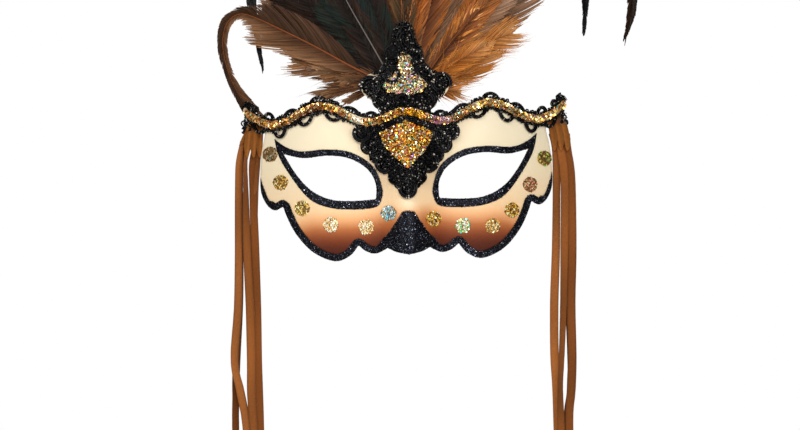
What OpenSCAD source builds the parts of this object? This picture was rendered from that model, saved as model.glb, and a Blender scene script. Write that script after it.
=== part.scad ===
// Venetian half mask with a feather crest, a braid and sequin brow trim, and suede ties.
// +Z is up the wearer's face, the wearer looks along -Y, and +X is on a viewer's right.
// The origin is on the inner face of the nose bridge, at eye level, where the mask sits on the nose.

/* [Shell] */
// Thickness of the moulded shell
shell_t = 1.6; // [1.2:0.1:2.4]
// How far the shell wraps back between the nose and the temples
wrap_depth = 54; // [48:1:58]
// How far the nose bridge stands out at eye level
bridge_h = 13; // [10:0.5:16]
// Width of the glitter border along the lower edge
border_w = 3.8; // [3:0.1:4.5]
// Thickness of the painted glitter
glitter_t = 0.4; // [0.3:0.1:0.8]

/* [Trim] */
// Width of the braid along the brow
braid_w = 9; // [8:0.5:10]
// Thickness of the braid
braid_t = 2; // [1.5:0.1:2.5]
// Width of the row of sequins on the braid
sequin_w = 5; // [4:0.5:6]
// Thickness of the row of sequins
sequin_t = 1.5; // [1:0.1:2]
// Thickness of the glitter fabric
fabric_t = 0.8; // [0.5:0.1:1.2]
// Diameter of a glitter dot
dot_d = 8.2; // [7:0.2:9]

/* [Feathers] */
// Thickness of a feather's vane
vane_t = 0.45; // [0.3:0.05:0.5]
// Distance between one layer of feathers and the next
layer_gap = 0.65; // [0.6:0.05:0.75]

/* [Ties] */
// Width of a suede tie
tie_w = 4.6; // [4:0.1:5]
// Thickness of a suede tie
tie_t = 1; // [0.8:0.1:1.2]
// Radius of the rolled head that the ties hang from
roll_r = 2; // [1.8:0.1:2.2]

/* [Hidden] */
// Name, colour, half width of the vane, and the route of the quill in X and Z.
// Each lies behind the one before, except the curl feather, which has a route of its own.
FEATHERS = [
    ["left_low_tuft", "#8a5a34", 5, [[-20, 52], [-34, 50], [-46, 47]]],
    ["left_chin_tuft", "#7a4c2a", 4.5, [[-16, 50], [-24, 46.5], [-31, 43]]],
    ["second_plume", "#9a6234", 14, [[-14, 54], [-28, 61], [-38, 80], [-56, 99], [-74, 116], [-94, 128]]],
    ["left_coque", "#1c1b1a", 4, [[-12, 55], [-32, 98], [-48.5, 138], [-66, 148], [-79, 128], [-83, 100],
        [-80, 79], [-77, 58]]],
    ["dark_plume_left", "#23302c", 16, [[-10, 56], [-28, 92], [-46, 136], [-62, 178]]],
    ["dark_plume_mid", "#2b2620", 17, [[-6, 55], [-16, 100], [-24, 150], [-32, 198]]],
    ["front_hackle", "#7b4a26", 11, [[-4, 55], [-5, 88], [-11, 128], [-14, 165]]],
    ["tall_hackle", "#8f5a2e", 14, [[0, 56], [3, 96], [6, 145], [4, 205]]],
    ["amber_hackle", "#a4622c", 13, [[3, 55], [10, 90], [18, 130], [26, 180]]],
    ["right_low_tuft", "#a66a3a", 6, [[8, 50], [18, 48], [30, 46]]],
    ["right_side_tuft", "#a05f30", 8.5, [[10, 51], [24, 55], [36, 59], [48, 68]]],
    ["right_fluff", "#a9683a", 10, [[10, 53], [26, 62], [44, 72], [60, 78]]],
    ["right_short_plume", "#8c552d", 12, [[10, 54], [30, 70], [52, 86], [76, 110]]],
    ["right_long_plume", "#94602f", 14, [[8, 56], [24, 76], [44, 98], [62, 128], [74, 160]]],
    ["right_back_plume", "#5d3a20", 14, [[6, 55], [22, 100], [40, 145], [52, 190]]],
    ["right_black_coque", "#191817", 4.5, [[12, 55], [34, 103], [56, 148], [76.5, 160], [94, 140],
        [101, 106], [99.5, 74]]],
    ["right_brown_coque", "#4a3120", 6.5, [[13, 56], [30, 98], [60, 158], [88, 176], [111, 157],
        [123.8, 122], [127.7, 96], [122.2, 72]]],
    ["back_plume", "#2f2a22", 16, [[0, 56], [-4, 110], [-10, 160], [-10, 212]]],
    ["curl_feather", "#7a4d2c", 4.2, []]
];

// ---- Surface of the face ----
grid = 4;            // spacing of the facets of every skin, in X and Z
face_x = 90;         // half width at which the wrap reaches wrap_depth
tall_z = 45;         // height above which the forehead runs straight
seat = bridge_h - shell_t;
cheek = [42, -27];   // centre of a cheek's swell
ridge = [40, 27];    // centre of a brow's swell

function lean(z) = abs(z) < tall_z ? 5 * pow(z / tall_z, 2) : 5 + (abs(z) - tall_z) * 10 / tall_z;
function nose(z) = z < 40 ? bridge_h - 0.2 * z : (bridge_h - 8) * exp((40 - z) / 25);
function swell(x, z) = 4 * exp(-(pow(abs(x) - cheek[0], 2) + pow(z - cheek[1], 2)) / 400)
    + 2.5 * exp(-pow(abs(x) - ridge[0], 2) / 500 - pow(z - ridge[1], 2) / 150);
function face_y(x, z) = seat + wrap_depth * pow(abs(x) / face_x, 3) + lean(z)
    - nose(z) * exp(-pow(x / 14, 2)) - swell(x, z);
function slope(x, z) = [face_y(x + 0.5, z) - face_y(x - 0.5, z), face_y(x, z + 0.5) - face_y(x, z - 0.5)];
// The face moved back along its normal by d.
function skin_y(x, z, d) = face_y(x, z) + d * sqrt(1 + pow(norm(slope(x, z)), 2));

// ---- Curves ----
function bend(a, b, c, d, t) =
    0.5 * (2 * b + (c - a) * t + (2 * a - 5 * b + 4 * c - d) * t * t + (3 * b - a - 3 * c + d) * t * t * t);
// A smooth curve through the points, with n steps between each two.
function curve(p, n) = let (last = len(p) - 1) concat(
    [for (i = [0:last - 1]) for (k = [0:n - 1])
        bend(p[max(i - 1, 0)], p[i], p[i + 1], p[min(i + 2, last)], k / n)],
    [p[last]]
);
function flip(p) = [for (i = [len(p) - 1:-1:0]) [-p[i][0], p[i][1]]];
// The brow: a hump at the middle, a valley, a crest over each eye, a valley, and a pointed end.
function brow_z(x) = let (a = abs(x))
    a < 19.5 ? 33.3 + 2.7 * cos(180 * a / 19.5)
    : a < 72.5 ? 35.2 - 4.7 * cos(360 * (a - 19.5) / 53)
    : 30.5 + 9.5 * pow((a - 72.5) / 17, 1.5);

// ---- Outlines of one half, each in X and Z ----
brow_end = 89;
crest_edge = curve([[0, 85.5], [3.2, 84.2], [5.6, 80], [6.8, 74], [9.9, 69.5], [10.4, 62.8],
    [14, 58], [19.5, 56.8], [24, 52.5], [23, 46.5], [18, 42], [16.4, 38.5], [13, 36.5]], 2);
brow_edge = [for (x = [17:3:brow_end - 3]) [x, brow_z(x) + 1.8]];
side_edge = curve([[brow_end, 41], [85, 35.5], [79, 31], [77.2, 26], [79.2, 16], [80.2, 4], [80, -6],
    [77, -13], [72.5, -16.3], [68, -14.2]], 3);
cheek_edge = curve([[68, -14.2], [66, -20], [61.5, -29], [54, -38], [46, -43], [38.5, -44.7],
    [31.5, -41.5], [27.2, -36.2]], 3);
lip_edge = curve([[27.2, -36.2], [23.5, -39.5], [18, -41], [13.5, -39.2], [11.4, -38]], 3);
nose_edge = curve([[11.4, -38], [7, -40.3], [0, -41.8]], 3);
half_shell = concat(crest_edge, brow_edge, side_edge, cheek_edge, lip_edge, nose_edge);
half_eye = concat(
    curve([[67, 14.4], [56, 11.9], [43, 12.9], [31, 11], [21.5, 5], [17.2, -3], [17.2, -11.4]], 4),
    curve([[17.2, -11.4], [30, -12.1], [42, -11], [52.4, -5.8], [60.4, 3.2], [67, 14.4]], 4));
half_eye_line = concat(
    curve([[72, 23], [66, 18.4], [57.5, 15.6], [43.5, 16.3], [30, 14.2], [18.5, 6.5], [13.9, -5],
        [14.5, -12], [18, -15.8], [30.5, -16.7], [43.5, -15.2], [54.2, -9.8], [64.5, 3.8],
        [70, 14], [72, 23]], 3));
nose_patch = curve([[0, -18], [3.5, -18.6], [7.4, -24.6], [11.7, -30.7], [16, -35], [18, -42]], 3);
star = [[0, 68.5], [3, 66.5], [4.4, 59], [7.5, 55.5], [12.4, 50.5], [9, 46.5], [4, 45.5], [0, 43.5]];
shield = [[0, 31], [8, 28], [14.7, 24.5], [11, 15.5], [0, 4.6]];
crest_lobes = [[0, 82.2, 3.3], [2.8, 78.4, 3.2], [6.6, 68.4, 3.7], [3, 73.6, 4.2], [9, 58, 5],
    [19.2, 51.4, 5], [12.6, 42.4, 5], [5.5, 63, 4.8], [14, 49.5, 6], [5, 44, 4]];
shield_lobes = [[24.3, 24.6, 4.6], [18, 27, 5.5], [20.5, 17.5, 4.8], [16, 12, 4.6], [12, 7, 5],
    [6.4, 0, 4.2], [0, -6.4, 4.7], [3.4, -2.5, 4.4], [10, 18, 7], [4, 8, 7]];
dots = [
    [[-74.6, 14.6], [-69.2, -1], [-57.6, -15.4], [-42.1, -24.7], [-22.9, -26.6], [-10.7, -19.1]],
    [[76.2, 9], [67.6, -5.2], [57, -19], [46, -27.4], [29.8, -26.9], [13.9, -22.8]]
];

module whole(half) polygon(concat(half, flip(half)));
module shell_2d() difference() {
    whole(half_shell);
    for (s = [-1, 1]) scale([s, 1]) polygon(half_eye);
}
module band_2d(w) {
    function edge(x, d) = let (rise = brow_z(x + 0.5) - brow_z(x - 0.5))
        [x, brow_z(x)] + d * [-rise, 1] / norm([1, rise]);
    whole(concat(
        [for (x = [0:3:brow_end]) edge(x, w / 2)],
        [for (x = [brow_end - brow_end % 3:-3:0]) edge(x, -w / 2)]
    ));
}
module lobes_2d(list) for (s = [-1, 1]) for (c = list) translate([s * c[0], c[1]]) circle(c[2], $fn = 20);
// A braided border: the lobes round a fabric shape, less slivers, down or up to the brow's braid.
module border_2d(lobes, fabric) offset(r = 0.3) offset(delta = -0.3) difference() {
    lobes_2d(lobes);
    offset(delta = 0.05) whole(fabric);
    offset(delta = 0.05) band_2d(braid_w);
}

// ---- Builders ----
// A closed sheet between two offsets of the face, over a rectangle whose sides are whole steps of the grid.
module sheet(front, back, lo, hi) {
    nx = (hi[0] - lo[0]) / grid;
    nz = (hi[1] - lo[1]) / grid;
    count = (nx + 1) * (nz + 1);
    function at(i, j, s) = s * count + j * (nx + 1) + i;
    points = [for (d = [front, back]) for (j = [0:nz]) for (i = [0:nx])
        let (x = lo[0] + i * grid, z = lo[1] + j * grid) [x, skin_y(x, z, d), z]];
    faces = concat(
        [for (j = [0:nz - 1]) for (i = [0:nx - 1]) [at(i, j, 0), at(i, j + 1, 0), at(i + 1, j + 1, 0)]],
        [for (j = [0:nz - 1]) for (i = [0:nx - 1]) [at(i, j, 0), at(i + 1, j + 1, 0), at(i + 1, j, 0)]],
        [for (j = [0:nz - 1]) for (i = [0:nx - 1]) [at(i + 1, j + 1, 1), at(i, j + 1, 1), at(i, j, 1)]],
        [for (j = [0:nz - 1]) for (i = [0:nx - 1]) [at(i + 1, j, 1), at(i + 1, j + 1, 1), at(i, j, 1)]],
        [for (i = [0:nx - 1]) [at(i, 0, 0), at(i + 1, 0, 0), at(i + 1, 0, 1), at(i, 0, 1)]],
        [for (i = [0:nx - 1]) [at(i + 1, nz, 0), at(i, nz, 0), at(i, nz, 1), at(i + 1, nz, 1)]],
        [for (j = [0:nz - 1]) [at(0, j + 1, 0), at(0, j, 0), at(0, j, 1), at(0, j + 1, 1)]],
        [for (j = [0:nz - 1]) [at(nx, j, 0), at(nx, j + 1, 0), at(nx, j + 1, 1), at(nx, j, 1)]]
    );
    polyhedron(points, faces);
}
// A 2D shape cut out of a sheet of the face; resize changes no size here and makes the result one mesh.
module on_face(front, back, lo, hi) resize([0, 0, 0]) intersection() {
    sheet(front, back, lo, hi);
    rotate([90, 0, 0]) linear_extrude(300, center = true) children();
}
// A closed skin over rings of equal length.
module rings(list) {
    n = len(list[0]);
    last = len(list) - 1;
    points = [for (r = list) for (p = r) p];
    faces = concat(
        [for (i = [0:last - 1]) for (k = [0:n - 1]) [i * n + k, i * n + (k + 1) % n, (i + 1) * n + k]],
        [for (i = [0:last - 1]) for (k = [0:n - 1])
            [i * n + (k + 1) % n, (i + 1) * n + (k + 1) % n, (i + 1) * n + k]],
        [[for (k = [n - 1:-1:0]) k]],
        [[for (k = [0:n - 1]) last * n + k]]
    );
    polyhedron(points, faces);
}

// ---- Feathers ----
root_y = 21.2;       // depth of the foremost layer at the crest
root_z = 58;         // height above which the feathers lean back
felt_t = 13.5;       // depth of the wad that the quills are set in
felt_w = 42;
// The layer that a feather lies in: it bows back with the head, leans back, and layers fan apart.
function layer_y(k, x, z) = let (up = max(z - root_z, 0))
    root_y + k * layer_gap * (1 + up / 100) + 12 * pow(x / 80, 2) + 0.15 * up;
// The curl feather comes forward of the others and turns down to end behind the left end of the trim.
curl_route = [[-11, 20.8, 52], [-30, 23.2, 62], [-48, 26, 72.5], [-67.7, 31, 83], [-80.8, 37, 89.5],
    [-90, 44, 92], [-97.1, 50, 88.5], [-100.3, 55, 80], [-100.1, 57.5, 70], [-97.4, 60, 59], [-93.2, 62.5, 49.5],
    [-88.5, 65, 42]];
curl_half_w = [2, 15, 16, 13, 8, 5, 3.8, 3, 2.8, 3.2, 4.2, 5];
feather_steps = 4;   // rings between two points of a route

function side_of(path, i) = let (
    last = len(path) - 1,
    t = path[min(i + 1, last)] - path[max(i - 1, 0)],
    tx = t[0],
    tz = t[len(t) - 1]
) [tz, -tx] / norm([tx, tz]);
// Half width along a feather: a bare quill, a full vane, and a rounded tip.
function vane_half(u, w) = max(0.6, w * pow(sin(180 * pow(u, 0.75)), 0.7));
module feather(k, w, route) {
    path = curve(route, feather_steps);
    last = len(path) - 1;
    h = vane_t / 2;
    rings([for (i = [0:last]) let (
        c = path[i],
        s = side_of(path, i),
        half = vane_half(i / last, w)
    ) [for (q = [[-1, 0], [0, 1], [1, 0], [0, -1]]) let (
        x = c[0] + s[0] * half * q[0],
        z = c[1] + s[1] * half * q[0]
    ) [x, layer_y(k, x, z) + h * (q[0] == 0 ? q[1] : 0), z]]]);
}
module curl() {
    path = curve([for (i = [0:len(curl_route) - 1]) concat(curl_route[i], curl_half_w[i])], 2);
    h = vane_t / 2;
    flat = [for (p = path) [p[0], p[2]]];
    rings([for (i = [0:len(path) - 1]) let (c = path[i], s = side_of(flat, i))
        [for (q = [[-1, 0], [0, 1], [1, 0], [0, -1]])
            [c[0] + s[0] * c[3] * q[0], c[1] + h * q[1], c[2] + s[1] * c[3] * q[0]]]]);
}

// ---- Ties ----
tie_y = 60;          // depth of the rolls' axes
tie_z = 23;          // height of the rolls' axes, on which the ties swing
tie_mid_y = 58.8;    // depth of the middle tie of a bundle
tie_top_w = 2.2;     // a tie is gathered to this width at its roll
roll_l = 12.6;
roll_x = [-85, 85];
// Heights of the points of every tie's route, from its roll to its free end.
tie_levels = [22.5, 12, -4, -40, -70, -99, -118, -150, -272];
// Depth of each tie below its roll, and its X at each level.
left_ties = [
    [57.4, [-89.8, -91.5, -92.3, -93.3, -94.3, -96.8, -93.5, -90.3, -90.3]],
    [56, [-85, -88.1, -88.4, -88.5, -87.6, -87.5, -87.9, -86.8, -86.3]],
    [58.8, [-82.6, -84.2, -84.5, -84.1, -83.8, -84.1, -83.9, -83.6, -83.3]],
    [60.2, [-80.2, -81.2, -82.9, -85.6, -85.7, -85.9, -86.1, -87.8, -88.3]],
    [61.6, [-87.4, -91.3, -92.1, -92.8, -93.8, -95.8, -96.8, -97.3, -96.8]]
];
right_ties = [
    [57.4, [80.2, 82.7, 82.8, 81.7, 80.1, 79.6, 80.3, 80.5, 80.7]],
    [56, [82.6, 85.7, 87.1, 86.1, 84.9, 83.3, 82.1, 82.2, 82.7]],
    [58.8, [87.4, 88.9, 90.3, 90.5, 89.3, 89.2, 88.1, 86.7, 86.7]],
    [60.2, [89.8, 89.9, 91.3, 90.9, 89.7, 89.6, 88.7, 86.2, 85.7]],
    [61.6, [85, 87.3, 88.7, 88.5, 88.5, 89, 88.5, 85.2, 84.2]]
];
function tie_ring(c, w) = [for (i = [0:7]) let (a = 45 * i + 22.5)
    c + [w / 2 * cos(a) / cos(22.5), tie_t / 2 * sin(a) / sin(67.5), 0]];
function tie_at(t, i) = [t[1][i], i == 0 ? tie_y + 0.7 * (t[0] - tie_mid_y) : t[0], tie_levels[i]];
module tie(t) rings([for (i = [len(tie_levels) - 1:-1:0])
    tie_ring(tie_at(t, i), i == 0 ? tie_top_w : tie_w)]);
module tie_roll(x) color("#7d4a20") translate([x, tie_y, tie_z]) rotate([0, 90, 0])
    cylinder(r = roll_r, h = roll_l, center = true, $fn = 48);
// The tab is glued to the back of the shell's pointed end, and its lower edge stays clear of the roll.
module tie_tab(s) color("#8b5423") on_face(shell_t, shell_t + 1.2, s > 0 ? [76, 24] : [-92, 24],
    s > 0 ? [92, 40] : [-76, 40]) scale([s, 1]) polygon([[77.5, 26], [88.5, 26], [88.5, 38], [79, 35]]);

// ---- Sub-parts ----
module mask_shell() color("#f3e3be") on_face(0, shell_t, [-92, -48], [92, 88]) shell_2d();
module eye_glitter(s) color("#1b1b20") on_face(-glitter_t, 0, s > 0 ? [12, -20] : [-76, -20],
    s > 0 ? [76, 24] : [-12, 24]) difference() {
        scale([s, 1]) polygon(half_eye_line);
        scale([s, 1]) polygon(half_eye);
        lobes_2d(shield_lobes);
    }
module lower_edge_glitter() color("#1b1b20") on_face(-glitter_t, 0, [-84, -48], [84, 4]) difference() {
    intersection() {
        whole(half_shell);
        whole([[0, -10], [72, -10], [75.5, -12], [81.3, 4], [90, 4], [90, -50], [0, -50]]);
    }
    difference() {
        offset(r = -border_w) whole(half_shell);
        whole(nose_patch);
    }
}
module dot(p) color("#c9962f") on_face(-glitter_t, 0,
    grid * [floor(p[0] / grid - 2), floor(p[1] / grid - 2)],
    grid * [ceil(p[0] / grid + 2), ceil(p[1] / grid + 2)])
    translate(p) circle(d = dot_d, $fn = 24);
module brow_braid() color("#141416") on_face(-braid_t, 0, [-92, 20], [92, 48]) band_2d(braid_w);
module brow_sequins() color("#c08a3a") on_face(-braid_t - sequin_t, -braid_t, [-92, 20], [92, 48])
    band_2d(sequin_w);
module medallion_fabric() color("#b8752a") on_face(-fabric_t, 0, [-20, 0], [20, 36]) difference() {
    whole(shield);
    band_2d(braid_w);
}
module medallion_braid() color("#141416") on_face(-braid_t, 0, [-32, -16], [32, 36])
    border_2d(shield_lobes, shield);
module crest_fabric() color("#b8752a") on_face(-fabric_t, 0, [-16, 36], [16, 72]) difference() {
    whole(star);
    band_2d(braid_w);
}
module crest_braid() color("#141416") on_face(-braid_t, 0, [-28, 32], [28, 88])
    border_2d(crest_lobes, star);
// A wad of felt and glue on the back of the crest, in which the ends of the quills are set.
module feather_felt() color("#3a2416") on_face(shell_t, shell_t + felt_t, [-24, 36], [24, 64]) {
    translate([-felt_w / 2, 46]) square([felt_w, 8]);
    translate([-felt_w / 2 + 4, 42]) square([felt_w - 8, 16]);
    for (x = [-1, 1]) for (z = [46, 54]) translate([x * (felt_w / 2 - 4), z]) circle(4, $fn = 20);
}

mask_shell();
eye_glitter(-1);  // left_eye_glitter
eye_glitter(1);  // right_eye_glitter
lower_edge_glitter();
for (i = [0:5]) dot(dots[0][i]);
for (i = [0:5]) dot(dots[1][i]);
brow_braid();
brow_sequins();
medallion_fabric();
medallion_braid();
crest_fabric();
crest_braid();
feather_felt();
for (k = [0:len(FEATHERS) - 2]) color(FEATHERS[k][1]) feather(k + 1, FEATHERS[k][2], FEATHERS[k][3]);
color("#7a4d2c") curl();  // curl_feather
tie_tab(-1);  // left_tie_tab
tie_tab(1);  // right_tie_tab
tie_roll(roll_x[0]);  // left_tie_roll
tie_roll(roll_x[1]);  // right_tie_roll
for (i = [0:4]) color("#8b5423") tie(left_ties[i]);
for (i = [0:4]) color("#8b5423") tie(right_ties[i]);
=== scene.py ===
import math

import bpy
import numpy as np
from mathutils import Matrix, Vector
from mathutils.geometry import delaunay_2d_cdt


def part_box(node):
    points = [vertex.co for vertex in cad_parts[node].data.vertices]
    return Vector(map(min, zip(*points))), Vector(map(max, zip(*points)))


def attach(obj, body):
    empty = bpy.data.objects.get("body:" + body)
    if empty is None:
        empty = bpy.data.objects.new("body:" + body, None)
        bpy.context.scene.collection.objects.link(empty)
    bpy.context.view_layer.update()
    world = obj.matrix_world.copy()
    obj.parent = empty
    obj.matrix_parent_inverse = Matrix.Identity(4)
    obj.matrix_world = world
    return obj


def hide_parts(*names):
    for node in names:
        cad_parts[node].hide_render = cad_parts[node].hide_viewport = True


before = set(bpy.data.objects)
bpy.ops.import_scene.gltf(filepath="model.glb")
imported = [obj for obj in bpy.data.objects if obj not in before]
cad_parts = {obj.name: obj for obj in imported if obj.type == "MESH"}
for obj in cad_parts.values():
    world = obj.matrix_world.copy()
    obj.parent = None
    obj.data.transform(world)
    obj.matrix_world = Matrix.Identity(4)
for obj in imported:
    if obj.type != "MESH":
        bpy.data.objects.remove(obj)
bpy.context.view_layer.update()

# A venetian half mask. Shapes are worked out in millimetres in the frame of the CAD model, +Z up and
# the face looking along -Y, and become metres when a mesh is made.
MM = 0.001

# ---- Sizes, in mm, as the CAD model has them ----
SHELL_T = 1.6
WRAP_DEPTH = 54.0
FACE_X = 90.0
BRIDGE_H = 13.0
BORDER_W = 3.8
GLITTER_T = 0.4
FABRIC_T = 0.8
BRAID_T = 2.0
DOT_D, DOT_T = 8.2, 0.24
TIE_W = 4.6
TIE_T = 1.1
ROW_STEP = 0.87         # distance between the rows of a triangular grid, for points 1 apart in a row

# ---- Surface of the face, and curves ----
LEAN_Z = 45.0           # above and below this, the face leans back evenly
NOSE_TOP, NOSE_W = 40.0, 14.0


def face_y(x, z):
    """Depth of the front of the shell: a wrap, a lean, a nose, and swells at the cheek and over the eye."""
    a = np.abs(x)
    lean = np.where(np.abs(z) < LEAN_Z, 5 * (z / LEAN_Z) ** 2, 5 + (np.abs(z) - LEAN_Z) * 10 / LEAN_Z)
    nose = np.where(z < NOSE_TOP, BRIDGE_H - 0.2 * z, (BRIDGE_H - 8) * np.exp((NOSE_TOP - z) / 25))
    swell = 4 * np.exp(-((a - 42) ** 2 + (z + 27) ** 2) / 400)
    swell = swell + 2.5 * np.exp(-((a - 40) ** 2) / 500 - (z - 27) ** 2 / 150)
    seat = BRIDGE_H - SHELL_T
    return seat + WRAP_DEPTH * (a / FACE_X) ** 3 + lean - nose * np.exp(-((x / NOSE_W) ** 2)) - swell


def slope(x, z):
    return face_y(x + 0.5, z) - face_y(x - 0.5, z), face_y(x, z + 0.5) - face_y(x, z - 0.5)


def on_face(xz, out=0.0):
    """Points of the face at X and Z, brought out in front of it by a distance."""
    xz = np.asarray(xz, float)
    x, z = xz[:, 0], xz[:, 1]
    gx, gz = slope(x, z)
    y = face_y(x, z) - out * np.sqrt(1 + gx**2 + gz**2)
    return np.stack([x, y, z], 1)


def face_axes(xz):
    """Unit vectors at points of the face: to the right, up, and outward."""
    gx, gz = slope(xz[:, 0], xz[:, 1])
    one = np.ones_like(gx)
    right = unit(np.stack([one, gx, 0 * gx], 1))
    outward = unit(np.stack([gx, -one, gz], 1))
    return right, np.cross(outward, right), outward


def unit(v):
    return v / np.maximum(np.linalg.norm(v, axis=-1, keepdims=True), 1e-12)


def smooth(a, b, t):
    t = np.clip((t - a) / (b - a), 0, 1)
    return t * t * (3 - 2 * t)


def curve(points, steps):
    """A smooth curve through the points, with that many steps between each two."""
    p = np.asarray(points, float)
    last = len(p) - 1
    out = []
    for i in range(last):
        a, b, c, d = p[max(i - 1, 0)], p[i], p[i + 1], p[min(i + 2, last)]
        for k in range(steps):
            t = k / steps
            out.append(0.5 * (2 * b + (c - a) * t + (2 * a - 5 * b + 4 * c - d) * t * t
                              + (3 * b - a - 3 * c + d) * t**3))
    return np.array(out + [p[last]])


def lengths(path):
    """Distance along a path at each of its points."""
    return np.concatenate([[0], np.cumsum(np.linalg.norm(np.diff(path, axis=0), axis=1))])


def respace(path, step):
    """The same path with its points evenly spaced, about that far apart."""
    path = np.asarray(path, float)
    s = lengths(path)
    at = np.linspace(0, s[-1], max(int(round(s[-1] / step)), 2) + 1)
    return np.stack([np.interp(at, s, path[:, k]) for k in range(path.shape[1])], 1)


def closed(path, step):
    """An outline as evenly spaced points, without its first point again at the end."""
    return respace(np.vstack([path, path[:1]]), step)[:-1]


def whole(half):
    """An outline of the right half and its mirror image."""
    half = np.asarray(half, float)
    return np.vstack([half, half[::-1] * [-1, 1]])


def angles(count):
    return np.linspace(0, 2 * np.pi, count, endpoint=False)


def ring(x, z, r, count=28, start=0.0, turn=360.0, tall=1.0):
    """Points round a circle or a part of it, from an angle and through a turn, in degrees."""
    a = np.radians(start + np.linspace(0, turn, count))
    return np.stack([x + r * np.cos(a), z + r * tall * np.sin(a)], 1)


def inside(xz, outline):
    """Which points lie inside a closed outline."""
    x, z = xz[:, 0][:, None], xz[:, 1][:, None]
    ax, az = outline[:, 0], outline[:, 1]
    bx, bz = np.roll(ax, -1), np.roll(az, -1)
    cross = (az > z) != (bz > z)
    dz = np.where(bz == az, 1e-12, bz - az)
    return (np.sum(cross & (x < (bx - ax) * (z - az) / dz + ax), axis=1) % 2) == 1


def gap(xz, outline):
    """Distance of each point from a closed outline."""
    a, b = outline, np.roll(outline, -1, axis=0)
    d = b - a
    near = np.full(len(xz), 1e9)
    for k in range(len(a)):
        t = np.clip(((xz - a[k]) @ d[k]) / max(d[k] @ d[k], 1e-12), 0, 1)
        near = np.minimum(near, np.linalg.norm(xz - a[k] - t[:, None] * d[k], axis=1))
    return near


def brow_z(x):
    """Height of the middle of the brow: a hump, a valley, a crest over the eye, and a pointed end."""
    a = np.abs(np.asarray(x, float))
    hump = 33.3 + 2.7 * np.cos(np.pi * a / 19.5)
    wave = 35.2 - 4.7 * np.cos(2 * np.pi * (a - 19.5) / 53)
    end = 30.5 + 9.5 * (np.maximum(a - 72.5, 0) / 17) ** 1.5
    return np.where(a < 19.5, hump, np.where(a < 72.5, wave, end))


# ---- Outlines, in X and Z ----
crest_edge = curve([[0, 85.5], [3.2, 84.2], [5.6, 80], [6.8, 74], [9.9, 69.5], [10.4, 62.8], [14, 58],
                    [19.5, 56.8], [24, 52.5], [23, 46.5], [18, 42], [16.4, 38.5], [13, 36.5]], 4)
brow_edge = [[x, brow_z(x) + 1.8] for x in range(17, 87, 3)]
side_edge = curve([[89, 41], [85, 35.5], [79, 31], [77.2, 26], [79.2, 16], [80.2, 4], [80, -6], [77, -13],
                   [72.5, -16.3], [68, -14.2]], 6)
cheek_edge = curve([[68, -14.2], [66, -20], [61.5, -29], [54, -38], [46, -43], [38.5, -44.7],
                    [31.5, -41.5], [27.2, -36.2]], 6)
lip_edge = curve([[27.2, -36.2], [23.5, -39.5], [18, -41], [13.5, -39.2], [11.4, -38]], 6)
nose_edge = curve([[11.4, -38], [7, -40.3], [0, -41.8]], 6)
half_shell = [crest_edge, brow_edge, side_edge, cheek_edge, lip_edge, nose_edge]
shell_line = closed(whole(np.vstack(half_shell)), 1.3)
right_eye = closed(np.vstack([
    curve([[67, 14.4], [56, 11.9], [43, 12.9], [31, 11], [21.5, 5], [17.2, -3], [17.2, -11.4]], 6),
    curve([[17.2, -11.4], [30, -12.1], [42, -11], [52.4, -5.8], [60.4, 3.2], [67, 14.4]], 6)[1:-1]]), 1.2)
right_eye_line = closed(curve([[72, 23], [66, 18.4], [57.5, 15.6], [43.5, 16.3], [30, 14.2], [18.5, 6.5],
                               [13.9, -5], [14.5, -12], [18, -15.8], [30.5, -16.7], [43.5, -15.2],
                               [54.2, -9.8], [64.5, 3.8], [70, 14], [72, 23]], 6)[:-1], 1.2)
nose_patch = curve([[0, -18], [3.5, -18.6], [7.4, -24.6], [11.7, -30.7], [16, -35], [18, -42]], 6)
nose_patch = closed(whole(np.vstack([nose_patch, [[0, -48]]])), 1.2)
star = closed(whole([[0, 68.5], [3, 66.5], [4.4, 59], [7.5, 55.5], [12.4, 50.5], [9, 46.5], [4, 45.5],
                     [0, 43.5]]), 1.0)
shield = closed(whole([[0, 31], [8, 28], [14.7, 24.5], [11, 15.5], [0, 4.6]]), 1.0)
DOTS = {
    "left": [[-74.6, 14.6], [-69.2, -1], [-57.6, -15.4], [-42.1, -24.7], [-22.9, -26.6], [-10.7, -19.1]],
    "right": [[76.2, 9], [67.6, -5.2], [57, -19], [46, -27.4], [29.8, -26.9], [13.9, -22.8]],
}


# ---- Meshes ----
def linear(code):
    """An sRGB colour code as linear red, green and blue."""
    c = np.array([int(code[i:i + 2], 16) for i in (1, 3, 5)]) / 255
    return np.where(c <= 0.04045, c / 12.92, ((c + 0.055) / 1.055) ** 2.4)


def mesh_piece(name, points, faces, material, tone, node=None, body="root", flat=False):
    """A mesh from points in mm, riding on a body. tone is one linear colour or a colour for each point, and
    node is the CAD node that the piece replaces."""
    mesh = bpy.data.meshes.new(name)
    mesh.from_pydata(np.asarray(points) * MM, [], faces)
    mesh.polygons.foreach_set("use_smooth", [not flat] * len(mesh.polygons))
    rgba = np.ones((len(points), 4), np.float32)
    rgba[:, :3] = tone
    mesh.attributes.new("tone", "FLOAT_COLOR", "POINT").data.foreach_set("color", rgba.ravel())
    mesh.materials.append(material)
    mesh.update()
    piece = bpy.data.objects.new(name, mesh)
    bpy.context.scene.collection.objects.link(piece)
    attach(piece, body)
    if node:
        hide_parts(node)
    return piece


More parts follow.
